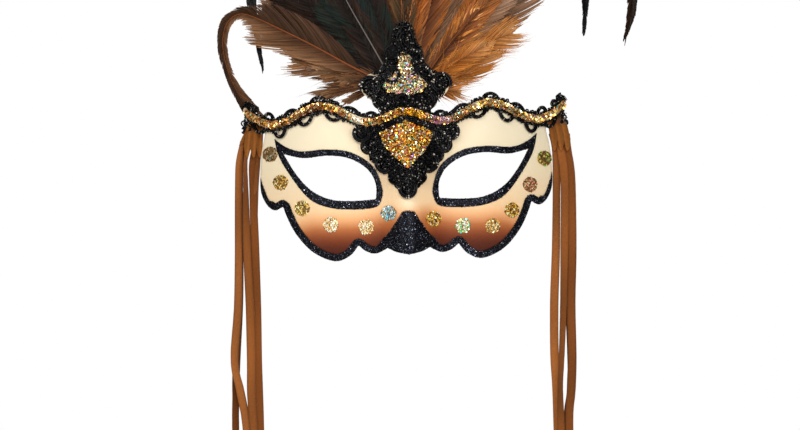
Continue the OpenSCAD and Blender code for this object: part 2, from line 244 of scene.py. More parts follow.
class Pile:
    """Parts of one mesh, gathered and then made into one piece."""

    def __init__(self):
        self.points, self.faces, self.tones, self.count = [], [], [], 0

    def add(self, points, faces, tone):
        """Faces are a list, or an array when all have four corners."""
        if isinstance(faces, np.ndarray):
            self.faces.extend((faces + self.count).tolist())
        else:
            self.faces.extend((np.asarray(f) + self.count).tolist() for f in faces)
        self.points.append(points)
        self.tones.append(np.broadcast_to(tone, (len(points), 3)))
        self.count += len(points)

    def piece(self, name, material, slot, node=None, flat=False):
        mesh_piece(name, np.vstack(self.points), self.faces, material, np.vstack(self.tones), node,
                   flat=flat)


def ring_faces(rows, count):
    """Faces of a sleeve made of rows of rings, with a cap on both ends."""
    k = np.arange(count)
    faces = []
    for low in range(0, (rows - 1) * count, count):
        high = low + count
        faces += np.stack([low + k, low + (k + 1) % count, high + (k + 1) % count, high + k], 1).tolist()
    return faces + [k[::-1].tolist(), ((rows - 1) * count + k).tolist()]


def strip_faces(count, steps):
    """Faces of separate flat strips, which have two points at each end of each step."""
    first = np.arange(count)[:, None] * (2 * steps + 2) + np.arange(steps)[None, :] * 2
    return np.stack([first, first + 1, first + 3, first + 2], -1).reshape(-1, 4)


def carried(path, first=None):
    """Two unit vectors across a path at each point, carried along it without twisting."""
    path = np.asarray(path, float)
    tangent = unit(np.gradient(path, axis=0))
    side = np.array(first if first is not None else [0.3, 0.9, 0.2], float)
    sides = []
    for t in tangent:
        side = side - (side @ t) * t
        side = side / max(np.linalg.norm(side), 1e-9)
        sides.append(side)
    sides = np.array(sides)
    return sides, np.cross(tangent, sides)


def tube(path, radius, sides=8, twist=0.0, strands=0, depth=0.0, ring_closed=False):
    """Points and faces of a closed tube. Strands wound round it make it look twisted or ribbed."""
    path = np.asarray(path, float)
    n = len(path)
    radius = np.broadcast_to(np.asarray(radius, float), (n,))
    a, b = carried(path)
    angle = angles(sides)
    turn = lengths(path)[:, None] * twist
    r = radius[:, None] * (1 + depth * np.cos(strands * angle[None, :] + turn))
    points = path[:, None] + r[..., None] * (np.cos(angle)[None, :, None] * a[:, None]
                                              + np.sin(angle)[None, :, None] * b[:, None])
    points = points.reshape(-1, 3)
    faces = ring_faces(n, sides)
    if ring_closed:
        del faces[-2:]
        last = (n - 1) * sides
        near = int(np.argmin(np.linalg.norm(points[:sides] - points[last], axis=1)))
        faces += [[last + j, last + (j + 1) % sides, (near + j + 1) % sides, (near + j) % sides]
                  for j in range(sides)]
    return points, faces


def skin(loops, keep, front, back, step, extra=None, rough=0.0, seed=0):
    """A closed skin between two distances in front of the face, over the points that keep says. Its edges follow
    the loops. Gives its points and faces, and X and Z of the points of its front."""
    edges, start = [], 0
    for loop in loops:
        n = len(loop)
        edges += [(start + i, start + (i + 1) % n) for i in range(n)]
        start += n
    outline = np.vstack(loops)
    lo, hi = outline.min(0), outline.max(0)
    gx, gz = np.arange(lo[0], hi[0], step), np.arange(lo[1], hi[1], step * ROW_STEP)
    grid = np.array([[x + (j % 2) * step / 2, z] for j, z in enumerate(gz) for x in gx])
    grid = grid[keep(grid)]
    for loop in loops:
        grid = grid[gap(grid, loop) > step * 0.5]
    points = np.vstack([outline, grid] + ([] if extra is None else [extra]))
    flat, _, tris, *_ = delaunay_2d_cdt([Vector(p) for p in points], edges, [], 0, 1e-4)
    flat = np.array([tuple(p) for p in flat])
    tris = np.array([t for t in tris if len(t) == 3])
    tris = tris[keep(flat[tris].mean(1))]
    used, tris = np.unique(tris, return_inverse=True)
    flat, tris = flat[used], tris.reshape(-1, 3)
    area = np.cross(flat[tris[:, 1]] - flat[tris[:, 0]], flat[tris[:, 2]] - flat[tris[:, 0]])
    tris[area < 0] = tris[area < 0][:, ::-1]
    n = len(flat)
    out = np.full(n, float(front))
    if rough:
        out = out + np.random.default_rng(seed).uniform(-rough, rough, n)
    pairs = {tuple(e) for e in np.vstack([tris[:, [0, 1]], tris[:, [1, 2]], tris[:, [2, 0]]]).tolist()}
    rim = [e for e in pairs if (e[1], e[0]) not in pairs]
    faces = tris.tolist() + (tris[:, ::-1] + n).tolist() + [[b, a, a + n, b + n] for a, b in rim]
    return np.vstack([on_face(flat, out), on_face(flat, back)]), faces, flat


# ---- Materials ----
def node_material(name):
    material = bpy.data.materials.new(name)
    material.use_nodes = True
    tree = material.node_tree
    return material, tree, tree.nodes["Principled BSDF"]


def set_inputs(node, **values):
    """Sets inputs of a node by name, with underscores for spaces."""
    for key, value in values.items():
        node.inputs[key.replace("_", " ")].default_value = value
    return node


def add_noise(tree, place, **values):
    noise = set_inputs(tree.nodes.new("ShaderNodeTexNoise"), **values)
    tree.links.new(place.outputs["Object"], noise.inputs["Vector"])
    return noise.outputs["Fac"]


def spread(tree, source, low, high):
    """A value of 0 to 1, brought into a range."""
    span = set_inputs(tree.nodes.new("ShaderNodeMapRange"), To_Min=low, To_Max=high)
    tree.links.new(source, span.inputs["Value"])
    return span.outputs["Result"]


def own_colour(tree, shader, noise_scale, low, high):
    """Colours a material with its piece's tones, a little lighter and darker by a fine noise. Gives the noise,
    and the place that it is read at."""
    tone = tree.nodes.new("ShaderNodeAttribute")
    tone.attribute_name = "tone"
    place = tree.nodes.new("ShaderNodeTexCoord")
    noise = add_noise(tree, place, Scale=noise_scale, Detail=3.0)
    mix = tree.nodes.new("ShaderNodeVectorMath")
    mix.operation = "SCALE"
    tree.links.new(tone.outputs["Color"], mix.inputs[0])
    tree.links.new(spread(tree, noise, low, high), mix.inputs["Scale"])
    tree.links.new(mix.outputs["Vector"], shader.inputs["Base Color"])
    return noise, place


def add_bump(tree, shader, source, strength, distance):
    bump = set_inputs(tree.nodes.new("ShaderNodeBump"), Strength=strength, Distance=distance)
    tree.links.new(source, bump.inputs["Height"])
    tree.links.new(bump.outputs["Normal"], shader.inputs["Normal"])


def paint_material():
    """Airbrushed satin paint over a moulded shell, with the faint pebble of a sprayed coat."""
    material, tree, shader = node_material("sprayed_paint")
    _, place = own_colour(tree, shader, 60.0, 0.97, 1.03)
    set_inputs(shader, Specular_IOR_Level=0.22)
    grain = add_noise(tree, place, Scale=1600.0, Detail=4.0, Roughness=0.6)
    tree.links.new(spread(tree, grain, 0.36, 0.5), shader.inputs["Roughness"])
    add_bump(tree, shader, grain, 0.25, 0.00006)
    return material


def glitter_material(name, metal, rough):
    """Flakes of foil: each has its own colour, and a faint grain blurs what it mirrors."""
    material, tree, shader = node_material(name)
    noise, _ = own_colour(tree, shader, 2500.0, 0.85, 1.15)
    set_inputs(shader, Metallic=metal)
    tree.links.new(spread(tree, noise, rough * 0.8, rough * 1.3), shader.inputs["Roughness"])
    return material


def fibre_material(name, rough, specular, sheen, noise_scale, bump, low=0.7, high=1.25):
    """Thread, felt, suede or feather: its own colour, streaked by a fine noise, with a soft sheen."""
    material, tree, shader = node_material(name)
    noise, _ = own_colour(tree, shader, noise_scale, low, high)
    set_inputs(shader, Roughness=rough, Specular_IOR_Level=specular, Sheen_Weight=sheen, Sheen_Roughness=0.4)
    if bump:
        add_bump(tree, shader, noise, 0.6, bump)
    return material


PAINT = paint_material()
# Metal and roughness.
BLACK_GLITTER = glitter_material("black_glitter_flakes", 0.85, 0.34)
HOLO_GLITTER = glitter_material("hologram_flakes", 0.6, 0.24)
DOT_GLITTER = glitter_material("hologram_dots", 0.2, 0.3)
SEQUIN_FOIL = glitter_material("sequin_foil", 0.8, 0.2)
# Roughness, specular, sheen, scale of the noise, depth of the bump, and least and most of the streaks.
RAYON = fibre_material("black_rayon_braid", 0.1, 0.14, 0.0, 3000.0, 0.00004)
FELT = fibre_material("brown_felt", 0.95, 0.2, 0.5, 1500.0, 0.0004)
SUEDE = fibre_material("brown_suede", 0.9, 0.12, 0.15, 1100.0, 0.00018, 0.72, 1.22)
BARBS = fibre_material("feather_barbs", 0.5, 0.12, 0.0, 500.0, 0.0, 0.85, 1.15)
COQUE = fibre_material("glossy_feather", 0.36, 0.12, 0.0, 500.0, 0.0, 0.85, 1.15)

# ---- Camera ----
SENSOR = 36.0
VIEW_W = 0.4375         # width of the view at the plane of the brow
VIEW_AT = 3.5           # how far the camera stands from that plane
YAW, ROLL = math.radians(0.6), math.radians(1.3)
VIEW_MIDDLE = Vector((-0.00415, 0.030, -0.0203))
ahead = Vector((math.sin(YAW), math.cos(YAW), 0))
level = Vector((math.cos(YAW), -math.sin(YAW), 0))
upright = Vector((0, 0, 1))
across = math.cos(ROLL) * level - math.sin(ROLL) * upright
above = math.sin(ROLL) * level + math.cos(ROLL) * upright
camera = bpy.data.objects.new("camera", bpy.data.cameras.new("camera"))
bpy.context.scene.collection.objects.link(camera)
camera.data.sensor_width = SENSOR
camera.data.lens = SENSOR * VIEW_AT / VIEW_W
camera.data.clip_end = 100
axes = Matrix((across, above, -ahead)).transposed().to_4x4()
camera.matrix_world = Matrix.Translation(VIEW_MIDDLE - ahead * VIEW_AT) @ axes
bpy.context.scene.camera = camera

# ---- Suede ties ----
TIE_Y, TIE_Z, TIE_MID_Y = 60.0, 23.0, 58.8
TIE_TOP_W, GATHER_LEN = 2.4, 16
TIE_LEVELS = [22.5, 12, -4, -40, -70, -99, -118, -150, -272]
# Depth of each tie below its roll, its X at each level, and how far it is turned there, in degrees.
TIES = {
    "left": [
        (57.4, [-89.8, -91.5, -92.3, -93.3, -94.3, -96.8, -93.5, -90.3, -90.3],
         [10, 25, 25, 0, 5, 30, 10, -10, 5]),
        (56, [-85, -88.1, -88.4, -88.5, -87.6, -87.5, -87.9, -86.8, -86.3],
         [0, 68, 62, 8, -5, 5, 0, 10, 0]),
        (58.8, [-82.6, -84.2, -84.5, -84.1, -83.8, -84.1, -83.9, -83.6, -83.3],
         [0, 20, 30, 5, 0, -5, 5, 0, -5]),
        (60.2, [-80.2, -81.2, -82.9, -85.6, -85.7, -85.9, -86.1, -87.8, -88.3],
         [0, 60, 50, 10, 0, 0, 10, 0, 10]),
        (61.6, [-87.4, -91.3, -92.1, -92.8, -93.8, -95.8, -96.8, -97.3, -96.8],
         [0, 20, 30, 20, 0, 10, 40, 30, 10]),
    ],
    "right": [
        (57.4, [80.2, 82.7, 82.8, 81.7, 80.1, 79.6, 80.3, 80.5, 80.7],
         [0, 5, 10, 0, -10, -15, -20, -5, 10]),
        (56, [82.6, 85.7, 87.1, 86.1, 84.9, 83.3, 82.1, 82.2, 82.7],
         [0, 10, 15, 20, 40, 55, 60, 10, 0]),
        (58.8, [87.4, 88.9, 90.3, 90.5, 89.3, 89.2, 88.1, 86.7, 86.7],
         [0, -5, 5, 10, 5, 0, 10, 5, -5]),
        (60.2, [89.8, 89.9, 91.3, 90.9, 89.7, 89.6, 88.7, 86.2, 85.7],
         [0, 20, 20, 10, 0, 10, 0, 10, 0]),
        (61.6, [85, 87.3, 88.7, 88.5, 88.5, 89, 88.5, 85.2, 84.2],
         [0, 30, 30, 20, 0, 10, 20, 0, 10]),
    ],
}
SUEDE_TONES = ["#975a2b", "#8a5024", "#80481f", "#8f5529", "#723e19"]


def tie(side, i):
    """A suede thong: a flat strip with soft edges, gathered at its top, that turns a little as it hangs."""
    y, xs, turns = TIES[side][i]
    rng = np.random.default_rng(300 + i + (50 if side == "right" else 0))
    top_y = TIE_Y + 0.7 * (y - TIE_MID_Y)
    route = np.array([[x, top_y if k == 0 else y, z] for k, (x, z) in enumerate(zip(xs, TIE_LEVELS))])
    line = curve(route, 4)
    path = respace(line, 1.6)
    s = lengths(path)
    n = len(path)
    wave = sum(rng.uniform(0.3, 1) * np.sin(s / rng.uniform(14, 45) + rng.uniform(0, 6)) for _ in range(4))
    gather = TIE_TOP_W / TIE_W
    width = TIE_W * (1 + 0.035 * wave) * (gather + (1 - gather) * smooth(0, GATHER_LEN, s))
    turn = np.radians(np.interp(-path[:, 2], -np.array(TIE_LEVELS), turns) + 5 * wave * smooth(4, 30, s))
    bow = rng.uniform(-0.5, 0.5) + 0.3 * np.sin(s / 33 + rng.uniform(0, 6))
    count = 18
    a = angles(count)
    u = np.sign(np.cos(a)) * np.abs(np.cos(a)) ** 0.55
    v = np.sign(np.sin(a)) * np.abs(np.sin(a)) ** 0.75
    px = width[:, None] / 2 * u[None, :]
    fuzz = rng.uniform(-0.05, 0.05, (n, count))
    py = TIE_T / 2 * v[None, :] + fuzz + bow[:, None] * (u[None, :] ** 2 - 0.4)
    c, d = np.cos(turn)[:, None], np.sin(turn)[:, None]
    points = path[:, None].repeat(count, 1)
    points[..., 0] += px * c - py * d
    points[..., 1] += px * d + py * c
    shade = 1 + 0.14 * wave / 2 + 0.1 * np.sin(s / 9 + i)
    edge = 1 - 0.28 * np.abs(u) ** 4
    tone = linear(SUEDE_TONES[i]) * (shade[:, None, None] * edge[None, :, None])
    name = f"{side}_tie_{i + 1}"
    piece = mesh_piece(name + "_suede", points.reshape(-1, 3), ring_faces(n, count), SUEDE,
                       tone.reshape(-1, 3), name, f"{side}_ties")


for side in TIES:
    for i in range(5):
        tie(side, i)


# ---- Painted shell ----
PAINT_BANDS = [(-46, "#431a0b"), (-40, "#501e0e"), (-37, "#602813"), (-34, "#7a381b"), (-31, "#964e29"),
               (-27.5, "#bb6d3c"), (-24, "#e29c66"), (-20.5, "#f9be87"), (-17, "#fbd2a1"), (-10, "#fbdbae"),
               (0, "#fae1ba"), (12, "#f8e6c2"), (24, "#f9e9c8"), (60, "#faebcb")]


def paint_tone(x, z):
    """Cream on the brow, peach round the eyes, copper to dark brown down the cheeks and beside the nose,
    and a painted highlight down the ridge of the nose.
    """
    a = np.abs(x)
    level_z = z + 4.0 * smooth(50, 66, a) - 2.5 * smooth(30, 12, a) - 1.2 * smooth(-5, 25, x)
    stops = np.array([b[0] for b in PAINT_BANDS], float)
    tones = np.array([linear(b[1]) for b in PAINT_BANDS])
    tone = np.stack([np.interp(level_z, stops, tones[:, k]) for k in range(3)], 1)
    copper, tan = linear("#b5652f"), linear("#c9a276")
    nose_side = np.exp(-((a - 9.5) / 3.5) ** 2) * smooth(-13, -22, z) * smooth(-34, -26, z)
    inner_eye = np.exp(-((a - 14.5 - 0.35 * (z + 2)) / 4.5) ** 2) * smooth(22, 8, z) * smooth(-12, -2, z)
    beside = np.exp(-((gap_to_medallion(x, z)) / 5.0) ** 2) * smooth(-13, -2, z)
    # Painted highlight: a pale streak down the middle of the nose ridge, below the medallion.
    painted_ridge_highlight = np.exp(-((x / 5) ** 2)) * smooth(-8, -13, z) * smooth(-20, -14, z)
    for amount, to in ((0.45 * nose_side, copper), (0.3 * inner_eye, tan), (0.3 * beside, tan),
                       (0.5 * painted_ridge_highlight, linear("#fff0cf"))):
        tone = tone + amount[:, None] * (to - tone)
    return tone


def gap_to_medallion(x, z):
    """Distance outside the two slanting sides of the medallion's braid."""
    a = np.abs(x)
    return np.maximum((a - 4.7 - (z + 7) * 0.72) * 0.81, 0)


def shell():
    eyes = [right_eye, right_eye * [-1, 1]]

    def keep(p):
        return inside(p, shell_line) & ~inside(p, eyes[0]) & ~inside(p, eyes[1])

    points, faces, flat = skin([shell_line] + eyes, keep, front=0.0, back=-SHELL_T, step=1.25)
    front = paint_tone(flat[:, 0], flat[:, 1])
    back = np.broadcast_to(linear("#e9dcc2"), front.shape)
    piece = mesh_piece("mask_shell_painted", points, faces, PAINT, np.vstack([front, back]),
                       "mask_shell")
    bevel = piece.modifiers.new("soft rim", "BEVEL")
    bevel.width = 0.35 * MM
    bevel.segments = 2
    bevel.limit_method = "ANGLE"
    bevel.angle_limit = math.radians(60)


shell()

# ---- Glitter ----
DOT_TINTS = {
    "left": [
        "8f7a56 5 5a4428 5 c9b48a 3 7fae9a 1 2e2113 4",
        "ffe9a0 4 e6b344 5 9a6a24 5 3a2712 3",
        "fff0a8 4 e3bc40 6 8f6c1e 5 3a2c10 3",
        "fff6dc 9 ffe0a0 6 f0b868 4 b9803c 2",
        "fff4d6 9 ffdf9c 6 f0b060 4 c98c3e 2",
        "e6f8ff 7 7adcf0 5 58b0e0 3 b8f0c8 3 4a6a7a 3 e8c070 1",
    ],
    "right": [
        "e8cc60 4 6ad84a 3 5c4a20 6 2c2210 4",
        "d89a80 4 e8604a 1 8a4a38 5 f0d8a0 3 4a2a1c 3",
        "f0c040 5 b0741c 5 fff0b0 3 3c2410 4",
        "fff0b8 5 e8b858 6 a8743a 5 5a3416 2",
        "fffbe8 7 d8f0a0 4 5ad8d0 2 60c060 2 8a6a3a 3",
        "ffd85a 5 f0a028 4 fff4c8 3 8a5a20 4 3c2410 2",
    ],
}
BLACKS = "15151a 12 26262e 8 3a3c48 5 5c6274 3 8d93a6 1.2 c8ccd8 0.4"


def pick(rng, tints, count):
    """Random linear colours from a text of colour codes, each followed by its weight."""
    words = tints.split()
    weights = np.array([float(w) for w in words[1::2]])
    colours = np.array([linear("#" + code) for code in words[::2]])
    return colours[rng.choice(len(colours), count, p=weights / weights.sum())]


def scattered(keep, lo, hi, step, rng):
    """Points in X and Z, evenly but not regularly spread, over what keep says."""
    gx, gz = np.meshgrid(np.arange(lo[0], hi[0], step), np.arange(lo[1], hi[1], step * ROW_STEP))
    gx = gx + (np.arange(len(gx)) % 2)[:, None] * step / 2
    points = np.stack([gx.ravel(), gz.ravel()], 1)
    points = points + rng.uniform(-0.33, 0.33, points.shape) * step
    return points[keep(points)]


def flakes(name, xz, tints, material, seed, slot, out, size, tilt, thick=0.07):
    """Six-sided foil flakes, each a thin plate lying on the face with a tilt of its own. out is how far in front
    of the face they lie."""
    rng = np.random.default_rng(seed)
    count, sides = len(xz), 6
    right, up, outward = face_axes(xz)
    lean_a, lean_b = rng.normal(0, tilt, count), rng.normal(0, tilt, count)
    normal = unit(outward + right * lean_a[:, None] + up * lean_b[:, None])
    a = unit(right - normal * np.sum(right * normal, 1, keepdims=True))
    b = np.cross(normal, a)
    spin = rng.uniform(0, 2 * np.pi, count)
    radius = size / 2 * rng.uniform(0.75, 1.2, count)
    angle = spin[:, None] + angles(sides)[None, :]
    centre = on_face(xz, out) - outward * rng.uniform(0, 0.15, count)[:, None]
    flat = centre[:, None] + radius[:, None, None] * (
        np.cos(angle)[..., None] * a[:, None] + np.sin(angle)[..., None] * b[:, None])
    both = np.concatenate([flat + normal[:, None] * thick / 2, flat - normal[:, None] * thick / 2], 1)
    base = np.arange(count)[:, None] * 2 * sides
    k = np.arange(sides)
    after = (k + 1) % sides
    walls = np.stack([base + k, base + k + sides, base + after + sides, base + after], 2).reshape(-1, 4)
    faces = (base + k).tolist() + (base + k[::-1] + sides).tolist() + walls.tolist()
    tone = np.clip(pick(rng, tints, count) * rng.uniform(0.85, 1.25, (count, 1)), 0, 1)
    mesh_piece(name, both.reshape(-1, 3), faces, material, tone.repeat(2 * sides, 0), flat=True)


def plate(name, line, thick, step, material, slot, tone, node=None, **more):
    """A thin patch within an outline, glued to the face."""
    points, faces, _ = skin([line], lambda p: inside(p, line), thick, 0.0, step, **more)
    mesh_piece(name, points, faces, material, tone, node)


def coarse(name, line, tints, material, seed, rng, step, **more):
    """Coarse flakes over all of an outline, that far apart."""
    xz = scattered(lambda p: inside(p, line), line.min(0), line.max(0), step, rng)
    flakes(name, xz, tints, material, seed, "gold_glitter", **more)


def glitter_line(name, loops, keep, extra, seed):
    """Glitter paint: a low rough skin in dark binder, thick with small flakes."""
    points, faces, flat = skin(loops, keep, GLITTER_T, 0.0, step=1.0, extra=extra, rough=0.07, seed=seed)
    mesh_piece(name + "_binder", points, faces, BLACK_GLITTER, linear("#101014"), name)
    xz = scattered(keep, flat.min(0), flat.max(0), 0.52, np.random.default_rng(seed + 1))
    flakes(name + "_flakes", xz, BLACKS, BLACK_GLITTER, seed + 2, "black_glitter", out=GLITTER_T + 0.1, size=0.55,
           tilt=0.38, thick=0.05)


# Round lobes of a braided border, on its right half: X, Z and radius.
MEDALLION_LOBES = [[24.3, 24.6, 4.6], [18, 27, 5.5], [20.5, 17.5, 4.8], [16, 12, 4.6], [12, 7, 5],
                   [6.4, 0, 4.2], [0, -6.4, 4.7], [3.4, -2.5, 4.4], [10, 18, 7], [4, 8, 7]]
CREST_LOBES = [[0, 82.2, 3.3], [2.8, 78.4, 3.2], [6.6, 68.4, 3.7], [3, 73.6, 4.2], [9, 58, 5],
               [19.2, 51.4, 5], [12.6, 42.4, 5], [5.5, 63, 4.8], [14, 49.5, 6], [5, 44, 4]]


def in_lobes(p, lobes, grow=0.0):
    found = np.zeros(len(p), bool)
    for x, z, r in lobes:
        found |= np.hypot(np.abs(p[:, 0]) - x, p[:, 1] - z) < r + grow
    return found


for side, way in (("left", -1), ("right", 1)):
    eye_line, eye = right_eye_line * [way, 1], right_eye * [way, 1]

    def round_eye(p):
        return inside(p, eye_line) & ~inside(p, eye) & ~in_lobes(p, MEDALLION_LOBES, -0.8)

    glitter_line(f"{side}_eye_glitter", [eye_line, eye], round_eye, None, 500 + way * 7)

# The glitter border lies within this outline.
EDGE_TOP = closed(whole([[0, -10], [72, -10], [75.5, -12], [81.3, 4], [90, 4], [90, -50], [0, -50]]), 3)
low_line = respace(np.vstack([side_edge[30:], cheek_edge, lip_edge, nose_edge]), 1.0)
low_normal = unit(np.gradient(low_line, axis=0))[:, ::-1] * [1, -1]
low_inner = low_line + low_normal * BORDER_W
low_inner = np.vstack([low_inner, low_inner * [-1, 1]])
low_inner = low_inner[gap(low_inner, shell_line) > BORDER_W - 0.05]
low_inner = low_inner[~inside(low_inner, nose_patch) & inside(low_inner, EDGE_TOP)]


def in_low_edge(p):
    near = (gap(p, shell_line) < BORDER_W) | inside(p, nose_patch)
    return inside(p, shell_line) & inside(p, EDGE_TOP) & near


glitter_line("lower_edge_glitter", [shell_line], in_low_edge, low_inner, 520)


def dot(side, i):
    """A round patch of coarse glitter."""
    x, z = DOTS[side][i]
    name = f"{side}_dot_{i + 1}"
    seed = 560 + i + (20 if side == "right" else 0)
    rng = np.random.default_rng(seed)
    line = ring(x, z, DOT_D / 2, 41)[:-1]
    line = line + rng.uniform(-0.12, 0.12, line.shape)
    plate(name + "_glue", line, DOT_T, 1.2, HOLO_GLITTER, "gold_glitter", linear("#b98a4c"), name)
    coarse(name + "_flakes", line, DOT_TINTS[side][i], DOT_GLITTER, seed + 40, rng, out=DOT_T + 0.14, size=0.98,
           step=0.82, tilt=0.3)


for side in DOTS:
    for i in range(6):
        dot(side, i)


def fabric(name, line, seed, tints):
    """Glitter fabric: a brown cloth coated with coarse hologram flakes."""
    plate(name + "_cloth", line, FABRIC_T, 1.2, HOLO_GLITTER, "gold_glitter", linear("#3d2410"), name,
          rough=0.05, seed=seed)
    coarse(name + "_flakes", line, tints, HOLO_GLITTER, seed + 1, np.random.default_rng(seed), out=FABRIC_T + 0.2,
           size=0.95, step=0.85, tilt=0.4)


AMBER = ("ffb52e 5 f59a1e 5 ffd968 4 fff3c8 3.5 d9661a 3.5 8a3f10 2.5 c8842c 3 e0301c 0.5 30c8b4 0.4 "
         "48d060 0.3 8a6ad8 0.4 f07ab4 0.4")
PALE = ("fff0cc 5 ffdf9a 4 f2b45a 3 e8c8a0 3 b8703a 2 5c3418 1.5 5cd8c8 0.9 7ab0f0 0.5 c89af0 0.5 "
        "f08ab8 0.7 8ae070 0.5")
fabric("medallion_fabric", shield, 610, AMBER)
fabric("crest_fabric", star, 620, PALE)


# ---- Sequins ----
# Mixes of chip tones for stretches of the row: partly the foil's own hologram colours, partly painted reflection,
# light and dark chips for what the facets would mirror.
CHIPS = [
    "d99a72 4 f0c09a 3.5 a8683e 4 6e3e20 4 3c2010 4 ffe6c4 1.6 6cdcb0 0.5",
    "ffc24a 4 fff0c4 3.5 f09a40 3.5 b8702c 3 5c3414 4 fa9a6a 1.2 7ce0c0 0.6 f090b0 0.5",
    "ffc01e 5 ffd95a 4 ff9a1e 3.5 b86a1c 3 5c3010 3 e87a3c 1 8a7ae0 0.8 f05a48 0.6",
    "f0a8d0 3 d8b0e8 2.5 ffe4d0 2.5 c8843c 3 5c3018 3 7a8ae8 1 ffc04a 1.5",
    "ffc24a 3.5 fff0c4 3.5 e8964a 3 a8642c 3.5 54300f 4 7ce0c0 0.8 f0a0b8 0.6 8a9af0 0.4",
]


# Facet tones of the sequins, dark brown to near white: partly the foil's own colours, partly painted reflection
# standing in for what the facets mirror.
GOLDS = ("f0b45c 4 f8d48c 4 fff2cc 4 c07c34 4 7a4a1c 4 38200c 4 f29a50 1.5 86e0cc 0.5 ef8fb4 0.3 "
         "ffd23c 2")
CHIP_ZONES = [-90, -45, -8, 12, 26, 90]     # where each of the mixes in CHIPS starts along X, and the end
ROW_END = 87.6
# Where the row gets a painted highlight, its sequins painted nearly white, by X and half width.
HIGHLIGHT_LEFT, HIGHLIGHT_RIGHT = (-25.5, 3.4), (38, 1.2)
# Stretches of the row, from X to X, with a tint of their own.
STRETCHES = [(14, 22, "#f0a8e8"), (-6, 8, "#ffb92a")]
# A sequin's section, as radii and heights: out over its cupped front, and back beneath it.
SEQUIN = np.array([[0.4, 0], [1.2, 0.04], [2.25, 0.42], [2.25, 0.3], [1.2, -0.08], [0.4, -0.12]])


def near(x, spot, more=0.0):
    return np.abs(x - spot[0]) < spot[1] + more


def sequins():
    """A row of cupped, faceted round sequins on a thread, each lying over the edge of the next like a tile."""
    rng = np.random.default_rng(700)
    sides, rings = 10, len(SEQUIN)
    xs = np.arange(-ROW_END, ROW_END, 0.1)
    row = respace(np.stack([xs, brow_z(xs)], 1), 1.5)
    pile = Pile()
    right, up, outward = face_axes(row)
    along_row = unit(np.gradient(row, axis=0))
    faces = np.array([[j * rings + i, j * rings + (i + 1) % rings, (j + 1) % sides * rings + (i + 1) % rings,
                       (j + 1) % sides * rings + i] for j in range(sides) for i in range(rings)])
    for k, x in enumerate(row[:, 0]):
        along = right[k] * along_row[k][0] + up[k] * along_row[k][1]
        across_row = np.cross(outward[k], along)
        lean = -0.5 * math.tanh(x / 12) + rng.normal(0, 0.12)
        roll = rng.normal(0.05, 0.2)
        # The two highlight spots and the left end of the row past X -87 get the painted highlight.
        painted_highlight = near(x, HIGHLIGHT_LEFT) or near(x, HIGHLIGHT_RIGHT) or x < -87
        if painted_highlight:
            lean, roll = -0.15 * np.sign(x), 0.0
        normal = unit(outward[k] + along * lean + across_row * roll)
        a = unit(along - normal * (along @ normal))
        b = np.cross(normal, a)
        centre = on_face(row[k:k + 1], BRAID_T + 0.5)[0] + rng.normal(0, 0.14, 3)
        angle = angles(sides) + rng.uniform(0, 1)
        wobble = 1 + rng.uniform(-0.06, 0.06, sides)
        dent = rng.uniform(-0.12, 0.12, sides)
        points = np.array([centre + r * wobble[j] * (np.cos(q) * a + np.sin(q) * b)
                           + (h + dent[j] * (r > 1)) * normal
                           for j, q in enumerate(angle) for r, h in SEQUIN])
        tone = pick(rng, GOLDS, len(points)) * rng.uniform(0.7, 1.2)
        tone[::rings] = linear("#2a1608")
        # Painted highlight: these sequins are painted nearly white, where the row catches the light.
        if painted_highlight:
            tone = 0.25 * tone + 0.75 * linear("#fff0d2")
        for low, high, tint in STRETCHES:
            if low < x < high:
                tone = 0.7 * tone + 0.3 * linear(tint)
        if x < CHIP_ZONES[1]:
            tone = tone * [0.85, 0.72, 0.6]
        pile.add(points, faces, np.clip(tone, 0, 1))
    pile.piece("brow_sequins_row", SEQUIN_FOIL, "gold_sequins", "brow_sequins", flat=True)

    def beside(p):
        return np.abs(p[:, 1] - brow_z(p[:, 0])) < 2.1 - 1.2 * smooth(84, 88, np.abs(p[:, 0]))

    chips = scattered(beside, (1 - ROW_END, 25), (ROW_END, 46), 0.85, rng)
    chips = chips[~near(chips[:, 0], HIGHLIGHT_LEFT) & ~near(chips[:, 0], HIGHLIGHT_RIGHT, 0.2)]
    zone = np.searchsorted(CHIP_ZONES, chips[:, 0], "right")
    for k, mix in enumerate(CHIPS):
        flakes(f"brow_sequin_chips_{k + 1}", chips[zone == k + 1], mix, SEQUIN_FOIL, 701 + k, "gold_sequins",
               out=BRAID_T + 1.15, size=0.95, tilt=0.55)


sequins()

# ---- Braid ----
CORD_R, THIN_R = 0.5, 0.42
# The thread's own black, then two painted highlights: a faint one on the ribs of the twist, and bright painted
# glints.
BLACK_THREAD, THREAD_RIB_HIGHLIGHT, THREAD_PAINTED_GLINT = linear("#060506"), linear("#0c0b0c"), linear("#c9beb0")
TWIST = 5.2             # turn of the cord's two strands, in radians for each mm
BADGE_BOX = (-32.0, -14.0), (32.0, 88.0)       # round the medallion and the crest, in X and Z
PAINTED_GLINT_SHARE = 0.04           # share of a cord's rings that get a painted glint, a bright spot of painted highlight


